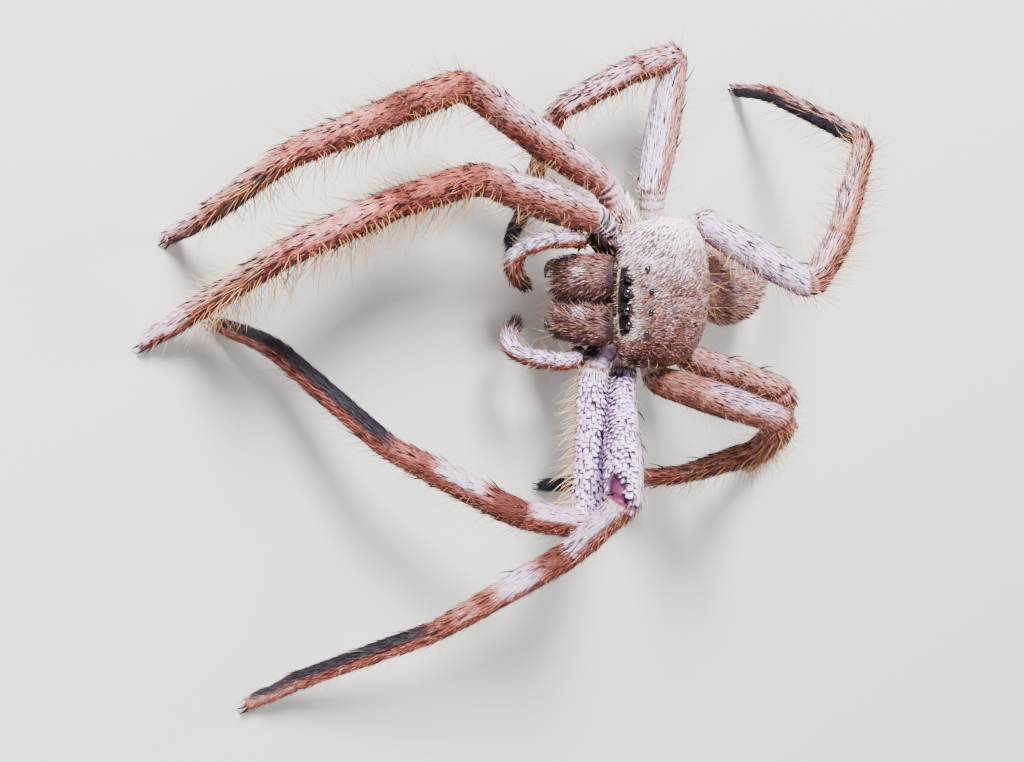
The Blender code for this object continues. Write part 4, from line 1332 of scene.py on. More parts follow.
        # Painted shadow: the base turns black, with dense dark hair, on the side that lies in shade under the head and
        # jaws.
        if look.hollow_shadow:
            turned = normal @ unit(np.array(look.hollow_shadow))
            marks["black"] = 0.95 * ease(at[1] - 0.6, at[1] - 1.4, q) * ease(-0.2, 0.35, turned)
            marks["tuft"] *= 0.5 * (1.0 - marks["black"])
        hollow_shadow = marks["black"].copy()
        under = normal @ unit(np.array(look.sole))
        slate = np.zeros(count)
        for start, end, strength in look.slate:
            slate = np.maximum(slate, strength * window(place, start, end, 0.08))
        marks["dusk"] = slate * ease(look.slate_edge[0], look.slate_edge[1], under)
        marks["sole"] = shin * np.clip(marks["dusk"] * 1.2 + 0.6 * ease(0.3, 0.8, -normal[:, 2]), 0.0, 1.0)
        for start, end, strength in look.blots:
            marks["blot"] = np.maximum(marks["blot"], strength * window(place, start, end, 0.06))
        # Painted shade: the side turned from the light is darkened.
        marks["blot"] = np.maximum(marks["blot"], 0.55 * ease(-0.25, -0.85, lit) * (1.0 - 0.5 * femur))
        for i, strength in enumerate((0.8, 0.6, 0.45, 0.35, 0.4)):
            marks["joint"] = np.maximum(marks["joint"], strength * hump(q - at[i + 1], 0.11))
        sway = look.ink * (0.25 * (normal @ VIEW_LEFT) + 0.08 * np.sin(q * 9.0 + 6.0 * normal[:, 2]))
        for off in look.folds:
            line = hump(q - at[1] - off - sway, mix(0.13, 0.09, look.ink))
            marks["joint"] = np.maximum(marks["joint"], look.crease * line)
            marks["black"] = np.maximum(marks["black"], look.ink * line)
        folded = ease(at[1] + max(look.folds) + 0.7, at[1] + max(look.folds) + 0.2, q) * ease(
            at[1] + min(look.folds) - 0.9, at[1] + min(look.folds) - 0.4, q)
        marks["bloom"] = np.maximum(marks["bloom"], mix(0.75, 1.0, look.ink) * folded * ease(-0.4, 0.3, lit))
        marks["red"] *= 1.0 - look.ink * folded
        marks["blot"] = np.maximum(marks["blot"], look.outline * hump(far - 0.5, 0.28) * (1.0 - femur) * ease(
            0.02, 0.2, pale + 0.3 * far * (1.0 - far)))
        marks["blot"] = np.maximum(marks["blot"], look.muddy * window(place, 2.0, 6.0, 0.1))
        marks["plum"] = pit
        bare = (1.0 - 0.8 * np.clip(marks["joint"], 0, 1)) * (1.0 - pit)
        strip = femur * ease(0.50, 0.72, -(normal @ VIEW_LEFT)) if look.pit else 0.0 * q
        scaled = look.scales * femur * ease(-0.45, 0.0, normal @ VIEW_BACK) * bare * (1.0 - strip)
        scaled *= ease(at[1] + 0.4, at[1] + 1.6, q)
        marks["rust"] = 0.30 * strip
        marks["scale"] = scaled
        marks["down"] = bare * (1.0 - 0.85 * scaled)
        hair = mix(look.dashes[1], look.dashes[0], femur) * (1.0 - 0.5 * base)
        marks["dash"] = bare * hair * (1.0 - 0.2 * scaled) * (1.0 - 0.8 * marks["dusk"])
        marks["dash"] = np.maximum(marks["dash"], hollow_shadow)
        marks["seta"] = bare * mix(0.85, 0.5, femur) * mix(0.6, 1.1, ease(0.5, -0.6, lit)) * (1.0 - 0.7 * foot)
        marks["seta"] *= look.fringe[0] * (1.0 - 0.85 * scaled) * (1.0 - 0.75 * base) * (1.0 - 0.85 * marks["dusk"])
        marks["dash"] *= 1.0 - 0.7 * folded
        marks["seta"] *= 1.0 - 0.9 * folded
        marks["stroke"] = (1.0 + 0.10 * shin - 0.25 * foot) * (1.0 - 0.5 * folded) + 0.9 * hollow_shadow
        marks["stroke"] *= 1.0 - 0.30 * femur * (1.0 - scaled)
        marks["stroke"] += 0.45 * ease(at[1] + 1.0, at[1] - 0.3, q) * (1.0 - folded)
        comb = femur * ease(0.35, 0.75, normal @ VIEW_LEFT) if look.comb else 0.0
        marks["seta"] = mix(marks["seta"], 1.0, comb)
        reach = 1.0 + 1.5 * comb
        marks["long"] = reach * look.fringe[1] * mix(1.0, 0.72, femur) * (1.0 - 0.5 * foot) * mix(0.85, 1.15, ease(0.5, -0.6, lit))
        across = 0.38 * femur * ease(0.30, 0.75, look.bridge * (normal @ VIEW_LEFT)) * ease(at[2] - 4.5, at[2] - 7.5, q)
        marks["lie"] = unit(way + across[:, None] * normal)
        return marks

    def spine_surface(self) -> list[Surface]:
        """Slender black spines at the places that the solids give them."""
        joints = self.joints()
        hip, knee, patella, tibia, ankle, meta, wrist, foot = self.radii
        rows: list[tuple[int, tuple[tuple[float, float], ...], float, float]] = [
            (1, ((0.30, 0), (0.56, 8), (0.80, -6), (0.44, 74), (0.72, 66), (0.40, -70), (0.70, -78)),
             self.femur_radius, self.femur_end or knee),
            (3, ((0.16, 84), (0.52, 92), (0.18, -88), (0.56, -84), (0.34, 150), (0.66, -146)), tibia, ankle),
            (4, ((0.14, 104), (0.16, -100), (0.48, 88), (0.50, -92)), meta, wrist),
        ]
        made = []
        side = 1.0 if self.name[0] == "L" else -1.0
        for segment, places, first, last in rows:
            start, end = joints[segment], joints[segment + 1]
            way = unit(end - start)
            back = np.array((0.0, 0.55, 0.85))
            back = unit(back - way * np.dot(back, way))
            flank = np.cross(way, back) * side
            for share, turn in places:
                out = back * math.cos(math.radians(turn)) + flank * math.sin(math.radians(turn))
                base = start + (end - start) * share + out * (mix(first, last, share) - 0.32)
                lean = unit(out * 0.46 + way * 0.88)
                tip = base + lean * 2.1
                if tip[2] < 0.35 or not spine_is_clear(tip, self.name):
                    continue
                path = np.array((base, base + lean * 1.15 + out * 0.06, tip + way * 0.15 - out * 0.10))
                line, radius, part = eased_path(path, np.array((0.100, 0.072, 0.014)), 0.30)
                made.append(plain_marks(sweep(line, radius, part, 6, out)))
        return made

    def claws(self) -> list[Surface]:
        """Two small curved claws at the end of the foot."""
        joints = self.joints()
        way = unit((joints[-1] - joints[-2]) * np.array((1.0, 1.0, 0.3)))
        side = unit(np.cross(way, np.array((0.0, 0.0, 1.0))))
        end = joints[-1] * np.array((1.0, 1.0, 0.0)) + np.array((0.0, 0.0, 0.62))
        made = []
        for spread in (-1.0, 1.0):
            base = end + way * 0.30 + side * spread * 0.18
            path = np.array((
                base, base + way * 0.42 + side * spread * 0.08 + np.array((0.0, 0.0, 0.08)),
                base + way * 0.72 + side * spread * 0.12 - np.array((0.0, 0.0, 0.08)),
                base + way * 0.80 + side * spread * 0.13 - np.array((0.0, 0.0, 0.34))))
            line, radius, part = eased_path(path, np.array((0.12, 0.10, 0.075, 0.03)), 0.10)
            claw = plain_marks(sweep(line, radius, part, 8, np.array((0.0, 0.0, 1.0))))
            claw.points[:, 2] = np.maximum(claw.points[:, 2], 0.02)
            made.append(claw)
        return made


def window(place: Array, start: float, end: float, soft: float) -> Array:
    """One between start and end, with soft ends."""
    return ease(start - soft, start + soft, place) * ease(end + soft, end - soft, place)


RADII: dict[int, tuple[float, ...]] = {
    1: (1.36, 1.46, 1.43, 1.34, 1.10, 1.10, 0.96, 0.96),
    2: (1.36, 1.40, 1.38, 1.28, 1.02, 1.00, 0.90, 0.95),
    3: (1.42, 1.42, 1.38, 1.22, 0.98, 0.96, 0.88, 0.92),
    4: (1.42, 1.42, 1.40, 1.28, 1.02, 1.00, 0.90, 0.92),
}
ROOTS: dict[int, tuple[float, float, float]] = {
    1: (3.5, -4.5, -0.9), 2: (4.0, -1.5, -0.9), 3: (4.0, 1.6, -0.9), 4: (3.5, 4.7, -0.9),
}


LOOKS: dict[str, LegColors] = {
    "R1": LegColors(((1.0, 1.9, 0.72), (2.1, 2.9, 0.22), (3.2, 4.0, 0.66), (4.0, 6.0, 0.95)), soft=0.22,
                    femur_edge=(-0.05, 1.0), far_edge=(-0.2, 0.9), red=(0.40, 0.85),
                    folds=(1.3, 0.65, -0.65, -1.4), deep=0.13, crease=0.6, ink=1.0, sole=(0.75, 0.25, -0.60),
                    slate=((4.9, 6.1, 0.45),), slate_edge=(0.50, 0.80), hollow_shadow=(0.95, -0.2, -0.25),
                    dashes=(0.62, 0.34), fringe=(1.0, 1.05)),
    "R2": LegColors(((1.0, 1.9, 0.62), (2.1, 2.9, 0.30), (3.2, 4.0, 0.52), (4.0, 6.0, 1.0)), soft=0.22,
                    femur_edge=(-0.30, 0.80), far_edge=(-0.2, 0.9), red=(0.32, 0.85),
                    folds=(0.6, -0.2, -1.0, -1.8), sole=(0.85, 0.0, -0.52),
                    slate=((4.4, 6.1, 1.0),), slate_edge=(0.40, 0.52), blots=((2.9, 3.15, 0.35),),
                    dashes=(0.66, 0.36), fringe=(0.9, 0.95)),
    "R3": LegColors(((1.0, 2.0, 0.84), (2.0, 3.0, 0.62), (3.0, 4.0, 0.70), (4.0, 6.0, 0.4)), shaded_side=(0.9, 2.1, 0.70),
                    far_edge=(-0.2, 0.5), red=(0.0, 0.5), slate=((5.0, 6.1, 1.0),), slate_edge=(-1.4, -1.2),
                    dashes=(0.72, 0.55), fringe=(0.8, 0.9), soft=0.15),
    "R4": LegColors(((1.0, 2.0, 0.92), (2.0, 3.0, 0.66), (3.0, 4.0, 0.60), (4.0, 4.9, 0.5)), shaded_side=(2.0, 4.1, 1.0),
                    far_edge=(-0.3, 0.5), red=(0.0, 0.35), sole=(0.70, -0.60, -0.30),
                    slate=((4.1, 6.1, 0.95),), slate_edge=(0.0, 0.35), dashes=(0.70, 0.55), fringe=(1.0, 1.05), soft=0.15),
    "L1": LegColors(((1.0, 2.0, 1.0), (2.05, 2.95, 0.86), (3.30, 3.70, 0.84), (3.86, 3.99, 0.4)), soft=0.09,
                    far_edge=(0.22, 0.62), red=(0.0, 0.50), sole=(-0.90, 0.10, 0.42), hollow_shadow=(0.0, -0.8, -0.6),
                    slate=((4.02, 6.1, 0.92),), slate_edge=(0.18, 0.62), blots=((2.98, 3.25, 0.75), (3.75, 3.84, 0.4)), scales=1.0,
                    dashes=(0.80, 0.22), fringe=(0.55, 0.55), comb=True, muddy=0.22, bridge=-1.0, outline=0.9),
    "L2": LegColors(((1.0, 2.0, 1.0), (2.05, 2.97, 0.90), (3.24, 3.54, 0.84), (3.70, 3.86, 0.45)), soft=0.09,
                    far_edge=(0.05, 0.45), red=(0.0, 0.50), sole=(-0.90, 0.10, 0.42),
                    slate=((4.05, 5.9, 0.92),), slate_edge=(0.32, 0.75), blots=((2.99, 3.20, 0.70),),
                    scales=1.0, pit=True, dashes=(0.80, 0.22), fringe=(0.45, 0.50), muddy=0.18,
                    bridge=1.0, outline=0.8),
    "L3": LegColors(((1.0, 1.45, 0.2), (1.45, 2.0, 0.54), (2.0, 3.0, 0.30), (3.0, 4.0, 0.3)), femur_edge=(0.15, 0.85), soft=0.15,
                    red=(0.10, 0.5), slate=((5.0, 6.1, 1.0),), slate_edge=(-1.4, -1.2),
                    blots=((1.1, 1.4, 0.34), (1.4, 3.2, 0.22)), dashes=(0.85, 0.50), fringe=(0.7, 0.75), muddy=0.28),
    "L4": LegColors(((1.0, 2.0, 0.30), (2.0, 4.0, 0.4)), femur_edge=(0.0, 0.8), red=(0.0, 0.3),
                    slate=((4.2, 6.1, 0.9),), dashes=(0.85, 0.50), fringe=(0.6, 0.8), soft=0.15),
}


def all_legs() -> list[Leg]:
    """The eight legs in the stance of the photo."""
    rows = (
        ("R1", (-7.2, -6.7, 9.2), ((-17, 2.5), (12, -2.5), (14, 15.5), (60, -59)), (0.8, -47.5),
         (15.2, 7.8, 13.3, 11.9), 1.82),
        ("R2", (-10.5, -6.1, 8.9), ((-29.5, -1), (15.5, 13), (15, 19.5), (66, -62.5)), (-7.4, -45.0),
         (18.1, 7.9, 13.6, 11.8), 1.70),
        ("R3", (-9.4, 0.7, 7.9), ((-108.5, -6), (12, 6.5), (22, 1.5), (94, -32.5)), (-5.0, -10.8),
         (13.7, 6.3, 10.3, 10.0), 1.75),
        ("R4", (-6.5, 7.1, 8.0), ((128.5, 53), (-136.5, -4), (-126, -13.5), (-64.5, -63.5)), (-19.4, 20.1),
         (13.1, 6.5, 11.8, 12.0), 1.70),
        ("L1", (7.0, -7.2, 8.5), ((69, 20), (-17.5, -5), (-33, -18), (-49.5, -26)), (0.0, -41.3),
         (14.8, 7.6, 13.5, 13.0), 1.36),
        ("L2", (7.9, -3.2, 8.3), ((39.5, 41.5), (67, -38), (33.5, -27.5), (19.5, -28)), (34.1, -40.2),
         (17.4, 7.3, 13.9, 13.2), 1.36),
        ("L3", (8.7, 0.7, 8.4), ((151, 65.5), (115.5, -46), (68.5, -63.5), (3, -31.5)), (20.1, -6.9),
         (14.1, 6.3, 10.3, 10.6), 1.72),
        ("L4", (7.3, 6.6, 6.5), ((124, 79), (121, -29.5), (129, -46.5), (178, -27.5)), (20.3, 30.5),
         (12.7, 6.4, 11.6, 11.9), 1.50),
    )
    ends = {"L2": 1.82}
    return [Leg(name, hip, headings, spot, lengths, RADII[int(name[1])], femur, ROOTS[int(name[1])],
                LOOKS[name], ends.get(name, 0.0))
            for name, hip, headings, spot, lengths, femur in rows]


LEGS: list[Leg] = all_legs()
LEG_LINES: dict[str, Array] = {leg.name: leg.joints() for leg in LEGS}


def spine_is_clear(tip: Array, name: str) -> bool:
    """Whether a spine's tip stays out of the body and of the other legs.

    Args:
        tip: Tip of the spine.
        name: Name of the leg that carries it.

    Returns:
        True where the tip is free.
    """
    if abs(tip[0]) < 8.4 and -14.5 < tip[1] < 20.5 and tip[2] < BODY_HEIGHT + 5.0:
        return False
    for other, joints in LEG_LINES.items():
        if other == name:
            continue
        for start, end in zip(joints[1:], joints[2:]):
            way = end - start
            share = float(np.clip(np.dot(tip - start, way) / np.dot(way, way), 0.0, 1.0))
            if np.linalg.norm(tip - start - way * share) < 1.9:
                return False
    return True


@dataclass(frozen=True)
class Blade:
    """Shape of one hair of unit length that stands along +Z.

    The hair bends towards +Y where bend is above zero, and rings gives its
    pieces along the length. The profile gives its width at each ring, or
    leaves it to taper.
    """

    name: str
    radius: float
    flat: float = 1.0
    bend: float = 0.0
    rings: int = 1
    sides: int = 3
    profile: tuple[float, ...] = ()

    def make(self, group: bpy.types.Collection) -> None:
        """Make the hair's mesh in a collection.

        Args:
            group: Collection that the coat picks hairs from.
        """
        points, faces, wraps = [], [], []
        for i in range(self.rings):
            u = i / self.rings
            wide = self.radius * (self.profile[i] if self.profile else 1.0 - u ** 1.5)
            for k in range(self.sides):
                a = 2 * math.pi * k / self.sides + math.pi / 2
                points.append((wide * math.cos(a), wide * self.flat * math.sin(a) + self.bend * u * u, u))
        points.append((0.0, self.bend, 1.0))
        tip = len(points) - 1
        faces.append(tuple(reversed(range(self.sides))))
        wraps += [(0.5, 0.0)] * self.sides
        for i in range(self.rings):
            low, high = i / self.rings, (i + 1) / self.rings
            for k in range(self.sides):
                n = (k + 1) % self.sides
                a, b = i * self.sides + k, i * self.sides + n
                u0, u1 = k / self.sides, (k + 1) / self.sides
                if i + 1 < self.rings:
                    faces.append((a, b, b + self.sides, a + self.sides))
                    wraps += [(u0, low), (u1, low), (u1, high), (u0, high)]
                else:
                    faces.append((a, b, tip))
                    wraps += [(u0, low), (u1, low), ((u0 + u1) / 2, 1.0)]
        mesh = bpy.data.meshes.new(self.name)
        mesh.from_pydata(points, [], faces)
        rise = mesh.attributes.new("rise", "FLOAT", "POINT")
        rise.data.foreach_set("value", np.array([p[2] for p in points], np.float32))
        patch = mesh.attributes.new("patch", "FLOAT2", "CORNER")
        patch.data.foreach_set("vector", np.array(wraps, np.float32).ravel())
        mesh.shade_smooth()
        group.objects.link(bpy.data.objects.new(self.name, mesh))


@dataclass(frozen=True)
class CoatLayer:
    """One kind of hair over the skin."""

    cover: Cover
    blades: tuple[Blade, ...]
    spacing: float
    length: float
    spread: float
    lift: float
    scatter: float
    seed: int
    finish: HairFinish
    reach: str = "stroke"


class CoatGrower:
    """Geometry-nodes tree that sets hairs on a marked skin."""

    def __init__(self) -> None:
        """Build the tree once, for all layers."""
        self.tree = bpy.data.node_groups.new("coat", "GeometryNodeTree")
        sockets = (("Skin", "NodeSocketGeometry"), ("Hairs", "NodeSocketCollection"),
                   ("Spacing", "NodeSocketFloat"), ("Cover", "NodeSocketString"),
                   ("Reach", "NodeSocketString"),
                   ("Length", "NodeSocketFloat"), ("Spread", "NodeSocketFloat"),
                   ("Lift", "NodeSocketFloat"), ("Scatter", "NodeSocketFloat"),
                   ("Seed", "NodeSocketInt"), ("Finish", "NodeSocketMaterial"))
        for name, kind in sockets:
            self.tree.interface.new_socket(name=name, in_out="INPUT", socket_type=kind)
        self.tree.interface.new_socket(name="Coat", in_out="OUTPUT", socket_type="NodeSocketGeometry")
        self.fill(NodeSheet(self.tree))

    def fill(self, sheet: NodeSheet) -> None:
        """Lay out the nodes.

        Args:
            sheet: Sheet of the empty tree.
        """
        given = sheet.add("NodeGroupInput").outputs
        cover = sheet.add("GeometryNodeInputNamedAttribute", {"Name": given["Cover"]}, data_type="FLOAT")
        dots = sheet.add(
            "GeometryNodeDistributePointsOnFaces",
            {"Mesh": given["Skin"], "Distance Min": given["Spacing"], "Density Max": 4.0e7,
             "Density Factor": sheet.out(cover), "Seed": given["Seed"]},
            distribute_method="POISSON")
        lie = self.mark(sheet, "lie", "FLOAT_VECTOR")
        wrap = self.mark(sheet, "UVMap", "FLOAT_VECTOR")
        rooted = sheet.add(
            "GeometryNodeStoreNamedAttribute",
            {"Geometry": sheet.out(dots, "Points"), "Name": "root_wrap", "Value": wrap},
            data_type="FLOAT_VECTOR", domain="POINT")
        rooted = sheet.add(
            "GeometryNodeStoreNamedAttribute",
            {"Geometry": sheet.out(rooted), "Name": "shade", "Value": self.random(sheet, given, 19)},
            data_type="FLOAT", domain="POINT")
        lift = sheet.out(sheet.add(
            "ShaderNodeVectorMath", {0: sheet.out(dots, "Normal"), "Scale": given["Lift"]}, operation="SCALE"))
        along = sheet.out(sheet.add("ShaderNodeVectorMath", {0: lie}, operation="NORMALIZE"))
        stray = sheet.add("FunctionNodeRandomValue", data_type="FLOAT_VECTOR")
        sheet.feed(stray, "Min", (-1.0, -1.0, -1.0))
        sheet.feed(stray, "Max", (1.0, 1.0, 1.0))
        sheet.feed(stray, "Seed", given["Seed"])
        stray = sheet.out(sheet.add(
            "ShaderNodeVectorMath", {0: sheet.out(stray), "Scale": given["Scatter"]}, operation="SCALE"))
        way = sheet.out(sheet.add("ShaderNodeVectorMath", {0: along, 1: lift}, operation="ADD"))
        way = sheet.out(sheet.add("ShaderNodeVectorMath", {0: way, 1: stray}, operation="ADD"))
        turn = sheet.out(sheet.add("FunctionNodeAlignRotationToVector", {"Vector": way}, axis="Z"))
        turn = sheet.out(sheet.add(
            "FunctionNodeAlignRotationToVector",
            {"Rotation": turn, "Vector": sheet.out(dots, "Normal")}, axis="Y", pivot_axis="Z"))
        size = self.random(sheet, given, 7)
        size = self.math(sheet, "MULTIPLY", self.math(sheet, "SUBTRACT", size, 0.5), given["Spread"])
        size = self.math(sheet, "MULTIPLY", self.math(sheet, "ADD", size, 1.0), given["Length"])
        reach = sheet.add("GeometryNodeInputNamedAttribute", {"Name": given["Reach"]}, data_type="FLOAT")
        size = self.math(sheet, "MULTIPLY", size, sheet.out(reach))
        hairs = sheet.add(
            "GeometryNodeCollectionInfo",
            {"Collection": given["Hairs"], "Separate Children": True, "Reset Children": True})
        pick = sheet.add("FunctionNodeRandomValue", data_type="INT")
        sheet.feed(pick, "Max", 5)
        sheet.feed(pick, "Seed", given["Seed"])
        placed = sheet.add(
            "GeometryNodeInstanceOnPoints",
            {"Points": sheet.out(rooted), "Instance": sheet.out(hairs), "Pick Instance": True,
             "Instance Index": sheet.out(pick), "Rotation": turn, "Scale": size})
        solid = sheet.add("GeometryNodeRealizeInstances", {"Geometry": sheet.out(placed)})
        solid = self.keep_above_floor(sheet, solid)
        patch = sheet.out(sheet.add(
            "ShaderNodeVectorMath",
            {0: self.mark(sheet, "patch", "FLOAT_VECTOR"), "Scale": 0.003}, operation="SCALE"))
        spot = sheet.out(sheet.add(
            "ShaderNodeVectorMath", {0: self.mark(sheet, "root_wrap", "FLOAT_VECTOR"), 1: patch}, operation="ADD"))
        mapped = sheet.add(
            "GeometryNodeStoreNamedAttribute",
            {"Geometry": sheet.out(solid), "Name": "OFBake", "Value": spot},
            data_type="FLOAT2", domain="CORNER")
        done = sheet.add("GeometryNodeSetMaterial", {"Geometry": sheet.out(mapped), "Material": given["Finish"]})
        sheet.add("NodeGroupOutput", {"Coat": sheet.out(done)})

    def keep_above_floor(self, sheet: NodeSheet, solid: bpy.types.Node) -> bpy.types.Node:
        """Lay what would pass below the floor flat on it.

        Args:
            sheet: Sheet of the tree.
            solid: Node that gives the hairs.

        Returns:
            The node that gives them above the floor.
        """
        place = sheet.out(sheet.add("GeometryNodeInputPosition"))
        apart = sheet.add("ShaderNodeSeparateXYZ", {"Vector": place})
        height = self.math(sheet, "MULTIPLY", self.math(sheet, "SUBTRACT", sheet.out(apart, "Z"), 0.00012), 0.08)
        height = self.math(sheet, "ADD", height, 0.00012)
        height = self.math(sheet, "MAXIMUM", self.math(sheet, "MAXIMUM", sheet.out(apart, "Z"), height), 0.00001)
        whole = sheet.add("ShaderNodeCombineXYZ", {
            "X": sheet.out(apart, "X"), "Y": sheet.out(apart, "Y"), "Z": height})
        return sheet.add("GeometryNodeSetPosition", {"Geometry": sheet.out(solid), "Position": sheet.out(whole)})

    @staticmethod
    def mark(sheet: NodeSheet, name: str, kind: str) -> bpy.types.NodeSocket:
        """Read a mark of the skin."""
        return sheet.out(sheet.add("GeometryNodeInputNamedAttribute", {"Name": name}, data_type=kind))

    @staticmethod
    def math(sheet: NodeSheet, operation: str, a: object, b: object) -> bpy.types.NodeSocket:
        """One step of arithmetic."""
        return sheet.out(sheet.add("ShaderNodeMath", {0: a, 1: b}, operation=operation))

    @staticmethod
    def random(sheet: NodeSheet, given: object, step: int) -> bpy.types.NodeSocket:
        """Random number from 0 to 1 for each hair."""
        node = sheet.add("FunctionNodeRandomValue", data_type="FLOAT")
        sheet.feed(node, "Seed", sheet.out(sheet.add(
            "ShaderNodeMath", {0: given["Seed"], 1: float(step)}, operation="ADD")))
        return sheet.out(node)

    def grow(self, name: str, skin: Surface, layer: CoatLayer) -> bpy.types.Object | None:
        """Grow one layer over a skin as a plain mesh.

        Args:
            name: Name of the new piece.
            skin: Marked skin that the hairs root in.
            layer: Kind of hair.

        Returns:
            The coat piece, or None where no hair stands.
        """
        group = bpy.data.collections.new(f"hairs_{layer.cover.value}")
        for blade in layer.blades:
            blade.make(group)
        finish = bpy.data.materials.get(layer.finish.name) or layer.finish.make()
        carrier = skin.build(f"{name}_carrier", finish)
        grown = carrier.modifiers.new("coat", "NODES")
        grown.node_group = self.tree
        values = {"Hairs": group, "Spacing": layer.spacing * MM, "Cover": layer.cover.value, "Reach": layer.reach,
                  "Length": layer.length * MM, "Spread": layer.spread, "Lift": layer.lift,
                  "Scatter": layer.scatter, "Seed": layer.seed, "Finish": finish}
        for item in self.tree.interface.items_tree:
            if item.in_out == "INPUT" and item.name in values:
                grown[item.identifier] = values[item.name]
        bpy.context.view_layer.update()
        graph = bpy.context.evaluated_depsgraph_get()
        mesh = bpy.data.meshes.new_from_object(carrier.evaluated_get(graph))
        bpy.data.objects.remove(carrier)
        for item in list(group.objects):
            bpy.data.objects.remove(item)
        bpy.data.collections.remove(group)
        if not len(mesh.polygons):
            return None
        unused = () if layer.finish.edge else ("rise",)
        for extra in (*unused, "patch", "root_wrap", "long", "stroke", "lie", "grain", "UVMap", *(kind.value for kind in Cover)):
            found = mesh.attributes.get(extra)
            if found:
                mesh.attributes.remove(found)
        mesh.name = name
        made = bpy.data.objects.new(name, mesh)
        bpy.context.scene.collection.objects.link(made)
        return made


DOWN_FINISH = HairFinish("down_hair", (180, 126, 114), (240, 222, 238), own=0.16, roughness=0.6, shine=0.15)
DASH_FINISH = HairFinish("dark_hair", (22, 9, 9), (46, 26, 32), own=0.98, roughness=0.5, shine=0.1, follow=0.4)
SETA_FINISH = HairFinish("long_hair", (172, 118, 70), (226, 192, 146), own=0.94, roughness=0.4, follow=0.35)
SOLE_FINISH = HairFinish("sole_hair", (8, 6, 7), (30, 37, 50), own=0.90, roughness=0.5, shine=0.1, follow=0.0)
SCALE_FINISH = HairFinish("scale_hair", (156, 118, 180), (216, 184, 242), own=0.84, roughness=0.5, shine=0.15, edge=1.0)
FUR_DASH_FINISH = HairFinish("dark_fur", (24, 10, 10), (92, 66, 72), own=0.95, roughness=0.5, shine=0.1, follow=0.6)
TUFT_FINISH = HairFinish("tuft_hair", (222, 190, 166), (252, 246, 240), own=0.70, roughness=0.6, shine=0.2)
DOWN = CoatLayer(
    Cover.DOWN, (Blade("down_a", 0.080, 0.35), Blade("down_b", 0.066, 0.4)),
    spacing=0.22, length=0.62, spread=0.6, lift=0.20, scatter=0.20, seed=11, finish=DOWN_FINISH)
DOWN_SHORT = CoatLayer(
    Cover.DOWN, (Blade("down_a", 0.10, 0.35), Blade("down_b", 0.085, 0.4)),
    spacing=0.19, length=0.52, spread=0.6, lift=0.25, scatter=0.24, seed=13, finish=DOWN_FINISH)
DASH = CoatLayer(
    Cover.DASH, (Blade("dash_a", 0.062, 0.5, 0.0, 2, 3, (0.8, 1.0)), Blade("dash_b", 0.052, 0.5)),
    spacing=0.26, length=1.05, spread=0.9, lift=0.17, scatter=0.10, seed=23, finish=DASH_FINISH)
DASH_SHORT = CoatLayer(
    Cover.DASH, (Blade("dash_a", 0.088, 0.5, 0.0, 2, 3, (0.8, 1.0)), Blade("dash_b", 0.072, 0.5)),
    spacing=0.25, length=0.68, spread=0.7, lift=0.30, scatter=0.22, seed=29, finish=FUR_DASH_FINISH)
SETA = CoatLayer(
    Cover.SETA, (Blade("seta_a", 0.0115, 1.0, -0.34, 4), Blade("seta_b", 0.010, 1.0, -0.22, 4),
                 Blade("seta_c", 0.011, 1.0, 0.06, 4)),
    spacing=0.34, length=2.5, spread=0.9, lift=1.9, scatter=0.55, seed=37, finish=SETA_FINISH, reach="long")
SOLE = CoatLayer(
    Cover.SOLE, (Blade("sole_a", 0.060, 0.5), Blade("sole_b", 0.050, 0.5)),
    spacing=0.15, length=0.55, spread=0.5, lift=0.26, scatter=0.16, seed=41, finish=SOLE_FINISH)
SCALE = CoatLayer(
    Cover.SCALE, (Blade("scale_a", 0.42, 0.24, 0.0, 3, 6, (0.60, 1.0, 0.90)),
                  Blade("scale_b", 0.38, 0.24, 0.0, 3, 6, (0.55, 0.95, 0.85))),
    spacing=0.44, length=0.80, spread=0.4, lift=0.17, scatter=0.12, seed=53, finish=SCALE_FINISH)
TUFT = CoatLayer(
    Cover.TUFT, (Blade("tuft_a", 0.085, 0.6), Blade("tuft_b", 0.070, 0.6)),
    spacing=0.13, length=0.66, spread=0.8, lift=0.60, scatter=0.42, seed=61, finish=TUFT_FINISH)


